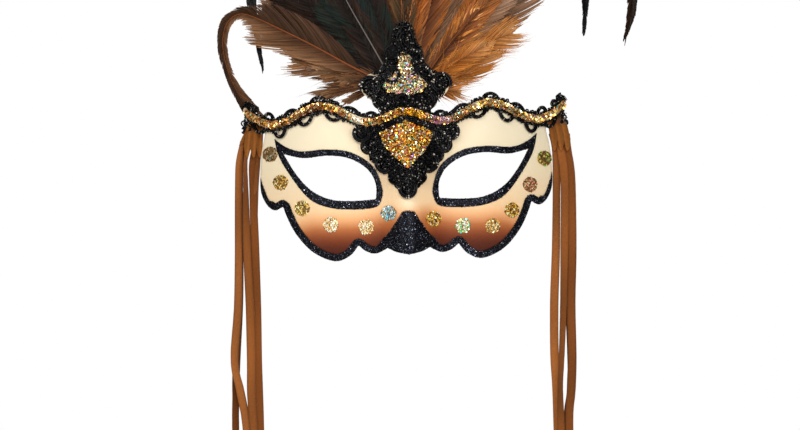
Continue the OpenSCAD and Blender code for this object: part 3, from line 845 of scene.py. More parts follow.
def gimp(pile, xz, out, r=CORD_R, jitter=0.0, rng=None, ring_closed=False, step=0.3, painted_highlight_by=1.0):
    """A ribbed rayon cord laid on the face along a route in X and Z. out is its distance from the face, or one
    for each point. Its tone carries painted highlights: a faint lighter band at each turn of the twist, and
    painted glints on a few of its rings."""
    xz = np.asarray(xz, float)
    route = respace(np.column_stack([xz, np.broadcast_to(out, len(xz))]), step)
    if jitter:
        route = route + rng.normal(0, jitter, route.shape)
    if ring_closed:
        route = route[:-1]
    path = on_face(route[:, :2], route[:, 2])
    sides = 8
    points, faces = tube(path, r, sides, twist=TWIST, strands=2, depth=0.14, ring_closed=ring_closed)
    # Painted highlight: the cord is a little lighter once each turn of its twist, and a few rings are painted
    # bright as glints.
    light = (0.5 + 0.5 * np.cos(lengths(path) * TWIST))[:, None, None]
    tone = BLACK_THREAD + (THREAD_RIB_HIGHLIGHT - BLACK_THREAD) * light * np.ones((1, sides, 1))
    painted_glints = np.random.default_rng(pile.count).uniform(0, 1, len(path))
    tone[painted_glints < PAINTED_GLINT_SHARE] = THREAD_PAINTED_GLINT * (0.15 + 18 * painted_glints[painted_glints < PAINTED_GLINT_SHARE, None, None])
    pile.add(points, faces, tone.reshape(-1, 3) * painted_highlight_by)


def curls(pile, xz, pitch, out, reach, rng):
    """Thread worked to and fro across a route, which makes the beaded texture of gimp braid."""
    xz = respace(xz, pitch / 6)
    s = lengths(xz)
    t = unit(np.gradient(xz, axis=0))
    side = np.stack([-t[:, 1], t[:, 0]], 1)
    phase = 2 * np.pi * s / pitch + 0.6 * np.sin(s / 2.3 + rng.uniform(0, 6))
    wide = reach * np.sin(phase) * (1 + 0.15 * np.sin(s * 1.7 + rng.uniform(0, 6)))
    back = pitch * 0.45 * np.sin(2 * phase)
    high = out + 0.3 * np.cos(2 * phase + 0.7)
    gimp(pile, xz + side * wide[:, None] + t * back[:, None], high, THIN_R, 0.04, rng)


def strokes(pile, area, seed):
    """Short arched bits of cord, each turned its own way, which cover an area like the thread of gimp braid."""
    rng = np.random.default_rng(seed)
    count = 8
    arch = 0.35 * np.sin(np.linspace(0, np.pi, count))
    for x, z in scattered(area, *BADGE_BOX, 1.3, rng):
        line = ring(0, 0, rng.uniform(0.75, 1.4), count, rng.uniform(0, 360), rng.uniform(110, 230))
        high = 0.8 + arch + rng.uniform(-0.25, 0.3)
        gimp(pile, line - line.mean(0) + [x, z], high, 0.33 * rng.uniform(0.85, 1.2), step=0.42)


def knots(pile, area, lo, hi, rng):
    """Small tight rings of cord, which look like beads."""
    for x, z in scattered(area, lo, hi, 1.2, rng):
        line = ring(x, z, rng.uniform(0.35, 0.7), 12, rng.uniform(0, 360), 300)
        gimp(pile, line, rng.uniform(0.9, 1.6), THIN_R)


def loop(pile, x, way, wide, tall, out=1.3):
    """Two cords side by side in a loop that stands out above or below the brow's sequins."""
    a = np.pi * np.linspace(-0.12, 1.12, 26)
    for inner in (0, 0.85):
        xs = x - np.cos(a) * (wide / 2 - inner)
        rise = np.sin(a) * tall - inner * (np.sin(a) > 0)
        base = brow_z(x + 0.6 * (xs - x)) + way * 1.8
        gimp(pile, np.stack([xs, base + way * rise], 1), out + 0.25 * (inner > 0), 0.58)


# Loops along the right half of the brow: X of the middle, width and height.
BROW_TOPS = [(19, 7.6, 3.7), (30, 9.2, 3.6), (47.3, 9.2, 3.7), (62.5, 7.6, 3.5), (75.2, 6.0, 4.6)]
BROW_LOWS = [(39.5, 9.2, 5.0), (54.4, 8.6, 6.0), (68.8, 7.0, 5.6), (79.8, 7.6, 5.2)]


def brow_braid():
    """The gimp along the brow: a woven middle under the sequins, paired loops, and beaded bits between them."""
    rng = np.random.default_rng(720)
    pile = Pile()
    xs = np.arange(-88.5, 88.6, 0.8)
    middle = np.stack([xs, brow_z(xs)], 1)
    strip = closed(np.vstack([middle + [0, 3.0], (middle - [0, 3.0])[::-1]]), 1.0)
    points, faces, _ = skin([strip], lambda p: inside(p, strip), front=1.1, back=0.0, step=1.4)
    pile.add(points, faces, BLACK_THREAD)
    for edge in (-2.6, 2.6):
        curls(pile, middle + [0, edge], pitch=1.7, out=1.3, reach=0.9, rng=rng)
    for sign in (-1, 1):
        for way, row in ((1, BROW_TOPS), (-1, BROW_LOWS)):
            for x, wide, tall in row:
                loop(pile, sign * x + rng.normal(0, 0.4), way, wide, tall)
        for way, row in ((1, [a[0] for a in BROW_TOPS]), (-1, [31] + [a[0] for a in BROW_LOWS])):
            for a, b in zip(row, row[1:]):
                mid, half = (a + b) / 2 * sign, 1.9 + 0.06 * (b - a)

                def between(p):
                    off = way * (p[:, 1] - brow_z(p[:, 0])) - 3.4
                    return (np.abs(p[:, 0] - mid) < half) & (np.abs(off) < 0.8)

                knots(pile, between, (mid - 5, 20), (mid + 5, 46), rng)
        frayed_end(pile, sign, rng)
    pile.piece("brow_braid_gimp", RAYON, "black_braid", "brow_braid")


# Knots at the right end of the brow's braid: X, Z, width and how many.
END_KNOTS = [(82.6, 39.8, 1.5, 9), (85.8, 41.6, 1.8, 12), (88.0, 40.8, 1.2, 6), (87.4, 31.6, 1.4, 8),
             (88.0, 28.6, 1.5, 10)]


def frayed_end(pile, sign, rng):
    """The cut end of the braid: tight knots of thread, with loose ends standing out of them."""
    for x, z, wide, count in END_KNOTS:
        for _ in range(count):
            c = np.array([x * sign, z]) + rng.normal(0, 0.7, 2)
            size = wide * rng.uniform(0.5, 1.0)
            line = ring(c[0], c[1], size, 14, rng.uniform(0, 360), rng.uniform(150, 320))
            gimp(pile, line, 0.8 + rng.uniform(0, 1.4), THIN_R, 0.04, rng)
    for _ in range(26):
        x = sign * rng.uniform(86.5, 88.8)
        start = np.array([x, rng.choice([rng.uniform(40.5, 43), rng.uniform(27.5, 36)])])
        aim = np.radians(rng.uniform(-60, 120) if start[1] > 40 else rng.uniform(-130, 30))
        far = start + [sign * abs(np.cos(aim)) * rng.uniform(0.8, 2.0), np.sin(aim) * rng.uniform(0.8, 2.2)]
        mid = (start + far) / 2 + rng.normal(0, 0.35, 2)
        gimp(pile, curve([start, mid, far], 4), rng.uniform(0.7, 1.6), 0.16)


def under_brow(p):
    return np.abs(p[:, 1] - brow_z(p[:, 0])) < 2.0


def backing(pile, lobes, fill, cut):
    """The dark cloth under a braided border: its lobes and all that lies between them. Gives where the worked
    thread goes, which is a little way in from the border's edges."""
    def keep(p, inset=0.1):
        return (in_lobes(p, lobes, -inset) | inside(p, fill)) & ~inside(p, cut) & ~under_brow(p)

    extra = []
    for sign in (-1, 1):
        for x, z, r in lobes:
            edge = ring(sign * x, z, r - 0.11, 25)[:-1]
            extra.append(edge[keep(edge)])
    reach = np.array([[x + r, z + way * r] for x, z, r in lobes for way in (-1, 1)])
    (_, low), (wide, high) = reach.min(0) - 2, reach.max(0) + 2
    border = closed(np.array([[-wide, low], [wide, low], [wide, high], [-wide, high]]), 8)
    points, faces, _ = skin([border], keep, front=0.6, back=0.0, step=1.1, extra=np.vstack(extra))
    pile.add(points, faces, linear("#050405"))
    return lambda p: keep(p, 1.2) & (gap(p, cut) > 0.7)


def double_ring(pile, x, z, r, start, turn, tall=1.0):
    """Two cords side by side round a lobe, painted lighter all over as a painted highlight."""
    for k in range(2):
        gimp(pile, ring(x, z, r - k, 36, start, turn, tall), 2.3 + 0.15 * k, 0.52, painted_highlight_by=2.4)


MEDALLION_FILL = whole([[0, 34], [12, 33], [26, 26.5], [21, 17], [16, 8], [9, 0.5], [3, -7], [0, -9]])
CREST_FILL = whole([[0, 84], [3, 80], [4.6, 74], [7.8, 69], [8.2, 62], [12, 57], [19, 54], [22.6, 50],
                    [20.8, 45.2], [17.6, 42.2], [14.6, 38.5], [12.6, 34.5]])


# Rings on the right half of the medallion's braid: X, Z, radius, how far past the top they start, how far they
# turn, and the points of a single cord, or 0 for two cords.
MEDALLION_RINGS = [(24.3, 24.6, 4.6, 30, 240, 0), (24.0, 24.6, 2.0, 30, 250, 24),
                   (19.4, 18.6, 4.6, 20, 200, 0), (12.3, 8.0, 4.9, 10, 210, 0),
                   (17.0, 12.6, 2.4, 0, 180, 20), (6.9, 0.2, 3.4, 10, 170, 24)]
# Double rings of the crest: X, Z, radius, where they start, how far they turn, and height for width.
CREST_RINGS = [(6.1, 65.8, 3.9, 120, -230), (-6.9, 55.9, 4.3, 110, -290), (9.7, 56.6, 4.9, 200, -230),
               (-19.2, 50.2, 5.6, 200, -270, 0.95), (20.0, 51.4, 5.4, -30, 270), (-12.9, 42.3, 4.8, 30, -270),
               (11.2, 41.4, 4.9, 150, 270)]
DISC = (-6.8, 68.6)     # middle of the round felt patch on the crest


def medallion_braid():
    """The braid round the medallion: big corner lobes, beaded lobes and ringed lobes down to a round foot."""
    pile = Pile()
    strokes(pile, backing(pile, MEDALLION_LOBES, MEDALLION_FILL, shield), 742)
    for sign in (-1, 1):
        for x, z, r, past, turn, count in MEDALLION_RINGS:
            start = 90 - past * sign
            if count:
                gimp(pile, ring(x * sign, z, r, count, start, -sign * turn), 1.7, 0.45)
            else:
                double_ring(pile, x * sign, z, r, start, -sign * turn)
        for k in range(2):
            top = [[sign * 15.4, 28 - k], [sign * 9.4, 29.6 - k], [sign * 2.4, 31.6 - k]]
            gimp(pile, curve(top, 8), 1.7 - 0.2 * k, 0.5)
    double_ring(pile, 0, -6.2, 4.8, 150, 240)
    pile.piece("medallion_braid_gimp", RAYON, "black_braid", "medallion_braid")


def crest_braid():
    """The braid of the crest: a pointed top of nested loops, ringed loops at the neck, wing lobes and feet."""
    rng = np.random.default_rng(760)
    pile = Pile()
    strokes(pile, backing(pile, CREST_LOBES, CREST_FILL, star), 762)
    rim = respace(crest_edge[4:28] - [0.4, 0], 1.0)
    for sign in (-1, 1):
        curls(pile, rim * [sign, 1], pitch=1.6, out=1.2, reach=0.6, rng=rng)
    for x, z in ((-1.8, 83.5), (1.1, 83.7)):
        gimp(pile, ring(x, z, 1.35, 24), 1.6, THIN_R, ring_closed=True)
    for k, (wide, tall) in enumerate([(4.6, 7.4), (3.3, 5.6), (1.9, 3.6)]):
        gimp(pile, ring(0.6, 74.6 - 0.4 * k, wide, 40, 110, 320, tall / wide), 1.7 + 0.2 * k, 0.5)
    plate("crest_disc", ring(*DISC, 3.2, 30)[:-1], 1.5, 1.1, FELT, "black_braid", linear("#020202"))
    gimp(pile, ring(*DISC, 3.6, 36, 20, 340), 2.1, THIN_R)
    for place in CREST_RINGS:
        double_ring(pile, *place)
    for r in (3.9, 2.9):
        gimp(pile, ring(-1.8, 41.8, r, 30, 0, 180), 1.9, 0.46)
    pile.piece("crest_braid_gimp", RAYON, "black_braid", "crest_braid")


brow_braid()
medallion_braid()
crest_braid()

# ---- Feathers ----
ROOT_Y, ROOT_Z, LAYER_GAP = 21.2, 58.0, 0.65
HEAD_BOW, LEAN_BACK, FAN_APART = 12, 0.15, 100


def layer_y(k, x, z):
    """The layer that a feather lies in: it bows back with the head, leans back, and layers fan apart."""
    up = np.maximum(z - ROOT_Z, 0)
    return ROOT_Y + k * LAYER_GAP * (1 + up / FAN_APART) + HEAD_BOW * (x / 80) ** 2 + LEAN_BACK * up


# Colours of the quill, of the vane near it, of its edge and of its tip; the angle of the barbs in degrees; the
# length of their locks in mm; how ragged they are; and the share of them that end in a wisp.
STYLES = {
    "coque": ("#120e0c", "#080707", "#151312", "#0b0a0a", 24, 16, 0.15, 0),
    "brown_coque": ("#2a1a10", "#150d08", "#4a2c1a", "#1a100a", 24, 14, 0.2, 0),
    "curl_outer": ("#8a4a26", "#38220f", "#4a3122", "#281810", 30, 14, 0.05, 0),
    "curl_inner": ("#8a4a26", "#452814", "#8f6646", "#6b462a", 34, 12, 0.15, 0),
    "teal": ("#1c1612", "#0d0907", "#1a2c24", "#1a1a14", 42, 10, 0.2, 0),
    "dark": ("#24180f", "#0f0805", "#2a180c", "#1c110a", 36, 9, 0.2, 0),
    "olive": ("#6b4a30", "#2c1e0f", "#6a4a26", "#7a5a30", 30, 8, 0.25, 0),
    "hackle": ("#3c2414", "#54290f", "#9a5a2c", "#a86a38", 28, 7, 0.3, 0),
    "amber": ("#5a3218", "#6e340b", "#a25c22", "#b4743a", 28, 7, 0.35, 0),
    "mauve": ("#8e4c2a", "#3a2113", "#86604a", "#9a765e", 42, 9, 0.2, 0),
    "brown": ("#a9572a", "#38200f", "#7a4e2e", "#926a4a", 38, 8, 0.25, 0),
    "taupe": ("#6e4a38", "#4a2e1a", "#8a6346", "#a5836a", 32, 7, 0.3, 0.1),
    "tuft": ("#6a4226", "#281407", "#7a5030", "#9c7450", 26, 6, 0.4, 0.1),
    "ginger": ("#8a4f22", "#84440e", "#b8722e", "#cc925a", 36, 4, 0.4, 0.6),
}


def vane_half(u, w):
    """Half width along a feather: a bare quill, a full vane, and a rounded tip."""
    return w * np.sin(np.pi * np.clip(u, 0, 1) ** 0.75) ** 0.7


BEYOND = np.arange(1, 40)       # how far a feather's line runs on past its tip, for barbs that end there


def strips(pile, path, wide, tone):
    """Flat strips along paths, with a half width and its direction at each point."""
    count, steps = path.shape[0], path.shape[1] - 1
    points = np.stack([path - wide, path + wide], 2).reshape(-1, 3)
    pile.add(points, strip_faces(count, steps), tone)


def barbs(pile, line, widths, depth, styles, rng, spacing=0.45, start=0.06, quill_r=0.55, light=1.0):
    """A feather: a tapered quill, and barbs on both sides that bend to its tip and cling together in locks.
    line is the quill in X and Z, widths its half widths on both sides, and depth gives Y for X, Z and the share
    of its length. styles are those of its left and its right side, as seen along the quill."""
    line = respace(np.concatenate([line, widths], 1), 0.8)
    widths, line = line[:, 2:], line[:, :2]
    s = lengths(line)
    total = s[-1]
    t2 = unit(np.gradient(line, axis=0))
    long_line = np.vstack([line, line[-1] + t2[-1] * BEYOND[:, None]])
    long_s = np.concatenate([s, total + BEYOND])
    long_t = np.vstack([t2, np.repeat(t2[-1:], len(BEYOND), 0)])

    def at(distance, values):
        return np.stack([np.interp(distance, long_s, values[:, k]) for k in range(2)], -1)

    segs = 6
    t = np.linspace(0, 1, segs + 1)[None, :]
    for side, style, width in zip((-1, 1), styles, widths.T):
        *codes, angle, lock, ragged, wisps = STYLES[style]
        quill, near_quill, edge, tip = (linear(c) * light for c in codes)
        count = max(int(total * (0.99 - start) / spacing), 8)
        root = np.linspace(start, 0.985, count) * total + rng.normal(0, spacing * 0.2, count)
        u = root / total
        cuts = np.cumsum(rng.uniform(0.5, 1.6, count) * lock)
        which = np.searchsorted(cuts, root)
        lock_start = np.concatenate([[0], cuts])[which]
        middle = lock_start + 0.5 * (cuts[which] - lock_start)
        lock_len = rng.uniform(0.92, 1.06, count + 2)[which]
        reach = np.interp(root, s, width) * lock_len * (1 - ragged * 0.5 * rng.uniform(0, 1, count) ** 2)
        # The angle to the quill falls along the feather, and along each barb.
        a0 = np.radians(angle * (1.25 - 0.55 * u) + rng.normal(0, 2.0, count)
                        + 1.6 * rng.normal(0, 1, count + 2)[which])
        turn = a0[:, None] + (a0 * 0.55 - a0)[:, None] * t
        lateral, forward = (np.concatenate([np.zeros((count, 1)), np.cumsum(f(turn[:, 1:]), 1)], 1) / segs
                            for f in (np.sin, np.cos))
        scale = (reach / np.maximum(lateral[:, -1], 1e-3))[:, None]
        cling = (middle - root)[:, None] * (0.12 + 0.6 * ragged) * t**2
        where = root[:, None] + forward * scale + cling
        limp = (rng.normal(0, 0.3, (count, 1)) + 0.4 * rng.normal(0, 1, count + 2)[which][:, None]) * t**2
        d = at(where, long_t)
        across_quill = np.stack([d[..., 1], -d[..., 0]], -1) * side
        p = at(where, long_line) + across_quill * (lateral * scale)[..., None]
        y = depth(p[..., 0], p[..., 1], np.clip(where / total, 0, 1)) + limp
        centre = np.stack([p[..., 0], y, p[..., 1]], -1)
        go = np.gradient(centre, axis=1)
        wide = unit(np.stack([-go[..., 2], np.zeros_like(y), go[..., 0]], -1))
        wide[..., 1] = rng.normal(0, 0.35, (count, 1))
        to_edge = (t**1.2)[..., None]
        to_tip = smooth(0.45, 1, u)[:, None, None]
        tone = near_quill + (edge - near_quill) * to_edge
        tone = tone + (tip - tone) * to_tip * (0.35 + 0.65 * to_edge)
        streak = rng.normal(0, 0.26, (count, 1, 1)) + 0.1 * rng.normal(0, 1, count + 2)[which][:, None, None]
        tone = np.repeat((tone * np.exp(streak)).reshape(-1, 3), 2, axis=0)
        strips(pile, centre, wide * (spacing * 0.85 * (1 - 0.7 * t**1.7))[..., None], tone)
        if wisps:
            some = rng.choice(count, int(count * wisps), replace=False)
            hairs(pile, centre[some], edge * 1.1, rng)
    quill_path = np.stack([line[:, 0], depth(line[:, 0], line[:, 1], s / total) - 0.42, line[:, 1]], 1)
    quill_path = quill_path[: max(int(len(line) * 0.97), 3)]
    r = quill_r * (1 - 0.88 * np.linspace(0, 1, len(quill_path)) ** 0.8)
    points, faces = tube(quill_path, r, 7)
    pile.add(points, faces, quill)


def hairs(pile, centre, tone, rng):
    """Loose hair-like ends that stand out past the vane."""
    count = len(centre)
    ends, dirs = centre[:, -1], unit(centre[:, -1] - centre[:, -2])
    t = np.linspace(0, 1, 6)[None, :, None]
    long = rng.uniform(2, 7.5, (count, 1, 1))
    droop = rng.normal(0, 0.3, (count, 1, 3)) * [1, 0.4, 1]
    path = ends[:, None] + dirs[:, None] * long * t + droop * long * t**2
    go = np.gradient(path, axis=1)
    wide = unit(np.stack([-go[..., 2], 0 * go[..., 0], go[..., 0]], -1))
    strips(pile, path, wide * (0.11 * (1.05 - t)), tone)


# The large feathers: name, style, layer, half width, and route of the quill in X and Z.
FEATHERS = [
    ("left_low_tuft", "tuft", 1, 2.6, [[-20, 50.5], [-34, 48.5], [-46, 45.5]]),
    ("left_chin_tuft", "tuft", 2, 2.4, [[-16, 50], [-24, 46.5], [-33, 42]]),
    ("second_plume", "mauve", 3, 14, [[-14, 54], [-28, 61], [-38, 80], [-56, 99], [-74, 116], [-94, 128]]),
    ("left_coque", "coque", 4, 4, [[-12, 55], [-32, 98], [-48.5, 138], [-66, 148], [-79, 128], [-83, 100],
     [-80, 79], [-77, 58]]),
    ("dark_plume_left", "teal", 5, 16, [[-10, 56], [-28, 92], [-46, 136], [-62, 178]]),
    ("dark_plume_mid", "dark", 6, 17, [[-6, 55], [-16, 100], [-24, 150], [-32, 198]]),
    ("front_hackle", "olive", 7, 11, [[-4, 55], [-5, 88], [-11, 128], [-14, 165]]),
    ("tall_hackle", "hackle", 8, 14, [[0, 56], [3, 96], [6, 145], [4, 205]]),
    ("amber_hackle", "amber", 9, 13, [[3, 55], [10, 90], [18, 130], [26, 180]]),
    ("right_low_tuft", "ginger", 10, 4.6, [[8, 50], [18, 48], [30, 46]]),
    ("right_side_tuft", "ginger", 11, 8.5, [[10, 51], [24, 55], [36, 59], [48, 68]]),
    ("right_fluff", "ginger", 12, 10, [[10, 53], [26, 62], [44, 72], [60, 78]]),
    ("right_short_plume", "taupe", 13, 12, [[10, 54], [30, 70], [52, 86], [76, 110]]),
    ("right_long_plume", "taupe", 14, 14, [[8, 56], [24, 76], [44, 98], [62, 128], [74, 160]]),
    ("right_back_plume", "dark", 15, 14, [[6, 55], [22, 100], [40, 145], [52, 190]]),
    ("right_black_coque", "coque", 16, 4.5, [[12, 55], [34, 103], [56, 148], [76.5, 160], [94, 140],
     [101, 106], [99.5, 74]]),
    ("right_brown_coque", "brown_coque", 17, 6.5, [[13, 56], [30, 98], [60, 158], [88, 176], [111, 157],
     [123.8, 122], [127.7, 96], [122.2, 72]]),
    ("back_plume", "dark", 18, 16, [[0, 56], [-4, 110], [-10, 160], [-10, 206]]),
]
SLOTS = {"coque": "feather_black", "teal": "feather_black", "dark": "feather_black",
         "ginger": "feather_ginger", "amber": "feather_ginger"}


def vane(pile, style, k, w, route, rng, **more):
    """One feather in its layer."""
    line = curve(route, 8)
    u = lengths(line) / lengths(line)[-1]
    widths = np.stack([vane_half(u, w)] * 2, 1)
    barbs(pile, line, widths, lambda x, z, _: layer_y(k, x, z), (style, style), rng, **more)


for i, (name, style, k, w, route) in enumerate(FEATHERS):
    pile = Pile()
    vane(pile, style, k, w, route, np.random.default_rng(800 + i))
    pile.piece(name + "_vane", COQUE if "coque" in style else BARBS, SLOTS.get(style, "feather_brown"), name)
# The smaller feathers that fill the head-dress, in fans: name, styles, how many, first and last layer, X and Z
# of the root, first and last direction in degrees, and the least and most length and half width.
FANS = [
    ("left_low_feathers", ["tuft", "brown", "tuft"], 10,
     (0.4, 2.6), (-15, 53), (197, 168), (26, 46), (4, 7)),
    ("left_dark_feathers", ["dark", "teal", "dark", "dark"], 16,
     (0.8, 3.4), (-9, 55), (142, 110), (50, 105), (7, 12)),
    ("left_soft_feathers", ["brown", "mauve", "tuft"], 18,
     (2.6, 5.4), (-14, 54), (168, 134), (44, 84), (6, 10)),
    ("middle_hackles", ["olive", "hackle", "hackle", "amber"], 22,
     (4.4, 8.8), (0, 55), (116, 64), (48, 110), (5, 9)),
    ("right_hackles", ["hackle", "amber", "taupe"], 18,
     (7.3, 12.5), (8, 54), (78, 42), (50, 100), (6, 11)),
    ("right_soft_feathers", ["ginger", "amber", "ginger"], 18,
     (7.6, 11.5), (12, 52), (56, 0), (22, 60), (5, 9)),
    ("back_feathers", ["dark", "brown", "dark"], 18,
     (17, 21), (0, 56), (146, 44), (70, 135), (13, 18)),
]
# How far from its root a feather of a fan may reach, in mm, at directions in degrees.
FAN_TURNS = [-10, 0, 10, 24, 30, 40, 55, 75, 100, 130, 146, 155, 162, 168, 174, 180, 188, 194, 200]
FAN_REACH = [11, 12, 18, 26, 37, 56, 88, 125, 135, 115, 92, 74, 58, 43, 28, 16, 18, 32, 34]


def fan(name, styles, count, layers, root, span, long, wide, seed):
    """Feathers spread from one root, each with a bend and a size of its own."""
    rng = np.random.default_rng(seed)
    pile = Pile()
    order = rng.permutation(count)
    for i in range(count):
        share = (order[i] + rng.uniform(0.1, 0.9)) / count
        turn = span[0] + (span[1] - span[0]) * share
        size = min(rng.uniform(*long), np.interp(turn, FAN_TURNS, FAN_REACH) * rng.uniform(0.85, 1.0))
        bend = rng.uniform(0.02, 0.2) * (1 if turn > 90 else -1)
        way = np.radians(turn) + bend * np.linspace(-0.6, 0.6, 5)
        steps = np.stack([np.cos(way), np.sin(way)], 1) * size / 5
        start = np.array(root) + rng.normal(0, [3.0, 1.5])
        route = np.vstack([start, start + np.cumsum(steps, 0)])
        k = layers[0] + (layers[1] - layers[0]) * (i + 0.5) / count
        half = min(rng.uniform(*wide), size * 0.16)
        vane(pile, styles[rng.integers(len(styles))], k, half, route, rng, spacing=0.42, quill_r=0.32,
             light=rng.uniform(0.7, 1.2), start=0.08)
    pile.piece(name, BARBS, SLOTS.get(styles[0], "feather_brown"))


for i, spec in enumerate(FANS):
    fan(*spec, seed=860 + i)


# Routes in X and Z, radii and colours.
QUILLS = [([[-9, 57], [-17, 72], [-31, 98], [-44, 126]], 0.45, "#6f665f"),
          ([[12, 58], [17, 68], [31, 98], [42, 124]], 0.32, "#6a4630")]


def bare_quills():
    """Two thin quills without barbs that cross in front of the others."""
    pile = Pile()
    for route, radius, code in QUILLS:
        line = curve(route, 10)
        path = np.stack([line[:, 0], layer_y(0, line[:, 0], line[:, 1]) - 0.6, line[:, 1]], 1)
        points, faces = tube(path, radius * np.linspace(1, 0.5, len(path)), 8)
        pile.add(points, faces, linear(code))
    pile.piece("bare_quills", COQUE, "feather_brown")


bare_quills()


# The curled feather: X, Y and Z of its quill, and the half width inside and outside the curl.
CURL = [[-11, 20.8, 52, 2, 2], [-30, 23.2, 62, 9, 10], [-48, 26, 72.5, 14, 12], [-67.7, 31, 83, 8, 7],
        [-80.8, 37, 89.5, 3.6, 4], [-90, 44, 92, 3, 3.5], [-97.1, 50, 88.5, 2.8, 3.1],
        [-100.3, 55, 80, 2.6, 2.8], [-100.1, 57.5, 70, 2.5, 2.4], [-97.4, 60, 59, 3.2, 2.8],
        [-93.2, 62.5, 49.5, 5.5, 3.6],
        [-88.5, 65, 42, 8, 4.4]]


def curl_feather():
    """The long curled feather on the left: a broad vane, narrow where it turns down to the end of the trim."""
    full = curve(CURL, 8)
    full[:, 0] += 1.2 * smooth(-78, -94, full[:, 0])
    flat = full[:, [0, 2]]
    u = lengths(flat) / lengths(flat)[-1]
    pile = Pile()
    barbs(pile, flat, full[:, 3:], lambda x, z, at: np.interp(at, u, full[:, 1]),
          ("curl_inner", "curl_outer"), np.random.default_rng(850), spacing=0.4, start=0.1, quill_r=0.6)
    pile.piece("curl_feather_vane", BARBS, "feather_brown", "curl_feather")


curl_feather()


# ---- Felt, tabs and gathered heads ----
PAD_MID, PAD_HALF = 6.6, 6.2      # depth of the pad's middle behind the shell, and half its thickness
TAB_TONE, HEAD_R = linear("#8b5423"), 1.7
TAB_Z, TAB_Y, TAIL_Z, TAIL_CLEFT = 35, 54.6, 13, 6.5
STRAP = [[-85.2, 57.5, 32], [-86.6, 56.8, 28.5], [-88.6, 57.2, 25], [-90.2, 57.4, 20.5]]


def felt_pad():
    """The wad of felt and glue behind the crest that holds the quills."""
    rng = np.random.default_rng(900)
    lo, hi = (np.array(c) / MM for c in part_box("feather_felt"))
    mid, half = (lo + hi) / 2, (hi - lo) / 2
    rows, cols = 26, 60
    v = np.linspace(0.02, np.pi - 0.02, rows)[:, None]
    a = angles(cols)[None, :]

    def power(q, e):
        return np.sign(q) * np.abs(q) ** e

    x = power(np.sin(v), 0.35) * power(np.cos(a), 0.5) * half[0] * 0.95
    z = mid[2] + power(np.sin(v), 0.35) * power(np.sin(a), 0.6) * half[2] * 0.95
    y = face_y(x, z) + SHELL_T * 1.1 + PAD_MID + PAD_HALF * power(np.cos(v), 0.5)
    points = np.stack([x, y, z], -1)
    points = (points + rng.normal(0, 0.12, points.shape)).reshape(-1, 3)
    pile = Pile()
    pile.add(points, ring_faces(rows, cols), linear("#3a2416"))
    some = points[rng.choice(len(points), 900, replace=False)]
    fibres(pile, some, unit((some - mid) / half**2 * half.mean()), linear("#4a3020"), rng)
    pile.piece("feather_felt_wad", FELT, "felt", "feather_felt")


def fibres(pile, roots, out, tone, rng):
    """Short hairs that stand out of felt."""
    count = len(roots)
    t = np.linspace(0, 1, 4)[None, :, None]
    go = unit(out + rng.normal(0, 0.7, (count, 3)))
    path = roots[:, None] + go[:, None] * rng.uniform(0.5, 1.3, (count, 1, 1)) * t
    strips(pile, path, unit(np.cross(go, rng.normal(0, 1, (count, 3))))[:, None] * 0.06 * (1.1 - t), tone)


def tie_tab(side, sign, top, foot):
    """A pleated suede tab, glued behind the end of the trim, that parts below into three tails over the ties. On
    the left a narrow strap beside it leads to the outermost tie. top and foot are the distances from the middle
    of the mask at which its upper and lower edges start and end."""
    rows, cols = 26, 64
    t = np.linspace(0, 1, rows)[:, None]
    u = np.linspace(0, 1, cols)[None, :]
    x = sign * ((top[0] + (top[1] - top[0]) * u) * (1 - t) + (foot[0] + (foot[1] - foot[0]) * u) * t)
    tails = TAIL_Z + TAIL_CLEFT * (1 - np.abs(np.sin(3 * np.pi * u)) ** 0.6)
    z = TAB_Z + 3 * (1 - t) * (u - 0.3) + (tails - TAB_Z) * t
    pleat = 0.4 * np.sin(6 * np.pi * u - 0.5 * np.pi) * smooth(0.1, 0.5, t)
    gx, gz = slope(x, z)
    behind = face_y(x, z) + (SHELL_T + 0.7) * np.sqrt(1 + gx**2 + gz**2)
    y = behind + (TAB_Y - behind) * smooth(0, 1, (32.5 - z) / 6) + pleat
    # Painted shade: the suede is darker and lighter across the pleats, in step with their folds.
    shade = (1 - 0.2 * np.cos(6 * np.pi * u) * smooth(0.05, 0.4, t)) * np.ones((rows, cols))
    thick = np.stack([0 * x, 0.9 - 0.5 * t + 0 * x, 0 * x], -1)
    parts = [(np.stack([x, y, z], -1), thick, shade)]
    if sign < 0:
        mid = curve(STRAP, 6)[:, None]
        wide = np.linspace(1.1, 1.5, len(mid))[:, None, None] * np.array([1.0, 0, -1.0])[None, :, None]
        parts.append((mid + wide * [1, 0, 0.45], [0, 0.7, 0], np.ones((len(mid), 3))))
    pile = Pile()
    for front, thick, shade in parts:
        k = np.arange(shade.size).reshape(shade.shape)
        n = shade.size
        faces = np.stack([k[:-1, :-1], k[:-1, 1:], k[1:, 1:], k[1:, :-1]], -1).reshape(-1, 4)
        rim = np.concatenate([k[0], k[1:, -1], k[-1, -2::-1], k[-2:0:-1, 0]])
        wall = np.stack([rim, rim + n, np.roll(rim, -1) + n, np.roll(rim, -1)], 1)
        faces = np.vstack([faces, faces[:, ::-1] + n, wall])[:, ::-sign]
        points = np.vstack([front.reshape(-1, 3), (front + thick).reshape(-1, 3)])
        pile.add(points, faces, TAB_TONE * np.vstack([shade.reshape(-1, 1)] * 2))
    pile.piece(f"{side}_tie_tab_suede", SUEDE, "suede", f"{side}_tie_tab")


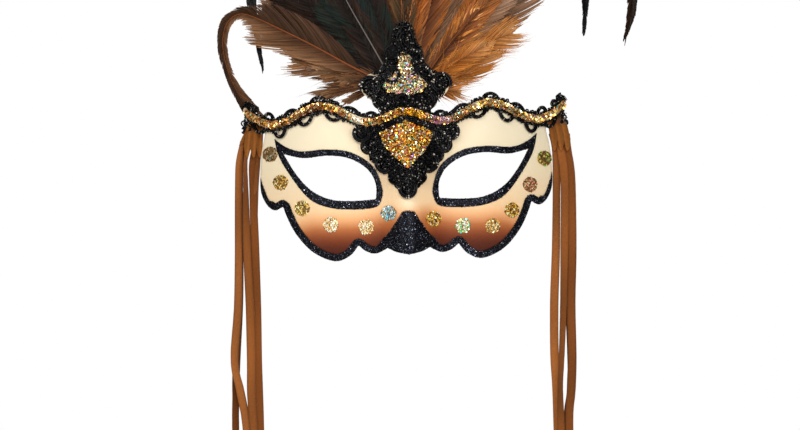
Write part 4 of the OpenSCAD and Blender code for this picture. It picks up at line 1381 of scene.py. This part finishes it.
def tie_head(side, x_mid, length):
    """The rolled head of a bundle of ties: suede folded over on itself, with the pleats of the gather and painted
    shade in them.
    """
    n, count = 60, 28
    s = np.linspace(-length / 2, length / 2, n)[:, None]
    a = angles(count)[None, :]
    pleat = 1 + 0.07 * np.sin(s * 3.1) + 0.05 * np.sin(s * 7.3 + 1) * np.ones((1, count))
    end = np.sqrt(np.clip(1 - (np.abs(s) / (length / 2)) ** 12, 0.0, 1))
    r = HEAD_R * 0.95 * pleat * (1 + 0.06 * np.cos(3 * a)) * np.maximum(end, 0.55)
    points = np.stack([x_mid + s + 0 * r, TIE_Y + r * np.cos(a), TIE_Z + r * np.sin(a)], -1)
    # Painted shade: the suede is darker where the pleats of the gather sink in.
    tone = TAB_TONE * (0.7 + 0.3 * (pleat - 0.88) / 0.24)[..., None]
    mesh_piece(f"{side}_tie_head", points.reshape(-1, 3), ring_faces(n, count), SUEDE,
               tone.reshape(-1, 3), f"{side}_tie_roll", f"{side}_ties")


felt_pad()
tie_tab("left", -1, (77.6, 86.4), (78.6, 89.0))
tie_head("left", -83.2, 7.6)
tie_tab("right", 1, (77.4, 87.2), (80.2, 91.0))
tie_head("right", 84.3, 9.6)


# ---- Studio ----
# Name, place in metres, size in metres and power in watts.
LIGHTS = [("front", (0.1, -2.2, 0.7), 0.8, 23), ("key", (-0.6, -1.3, 1.0), 0.3, 5),
          ("side", (-1.3, -0.7, 0.2), 0.5, 4.5), ("fill", (0.9, -1.2, 0.3), 0.5, 5.5),
          ("rim", (0.3, 0.9, 0.9), 0.7, 7)]
AIM = Vector((0, 0.03, 0))


def studio():
    """White behind the mask, a weaker white round it, and soft lamps."""
    world = bpy.data.worlds.new("studio")
    bpy.context.scene.world = world
    world.use_nodes = True
    tree = world.node_tree
    back = set_inputs(tree.nodes["Background"], Color=(1, 1, 1, 1))
    seen = tree.nodes.new("ShaderNodeLightPath").outputs["Is Camera Ray"]
    tree.links.new(spread(tree, seen, 0.14, 1.0), back.inputs["Strength"])
    for name, place, size, power in LIGHTS:
        light = bpy.data.objects.new(name, bpy.data.lights.new(name, "AREA"))
        light.data.size = size
        light.data.energy = power
        light.location = place
        light.visible_camera = False
        light.rotation_euler = (AIM - Vector(place)).to_track_quat("-Z", "Y").to_euler()
        bpy.context.scene.collection.objects.link(light)
    bpy.context.scene.view_settings.view_transform = "Standard"


def floor():
    """A wide pale disc below the ends of the ties."""
    radius, height, count = 1.6, -0.30, 96
    a = angles(count)
    rim = np.stack([radius * np.cos(a), radius * np.sin(a), np.full(count, height)], 1)
    mesh = bpy.data.meshes.new("floor")
    mesh.from_pydata(np.vstack([rim - [0, 0, 0.01], rim]), [], ring_faces(2, count))
    material, _, shader = node_material("pale_floor")
    set_inputs(shader, Base_Color=(0.86, 0.86, 0.85, 1), Roughness=0.8)
    mesh.materials.append(material)
    disc = bpy.data.objects.new("floor", mesh)
    bpy.context.scene.collection.objects.link(disc)


studio()
floor()
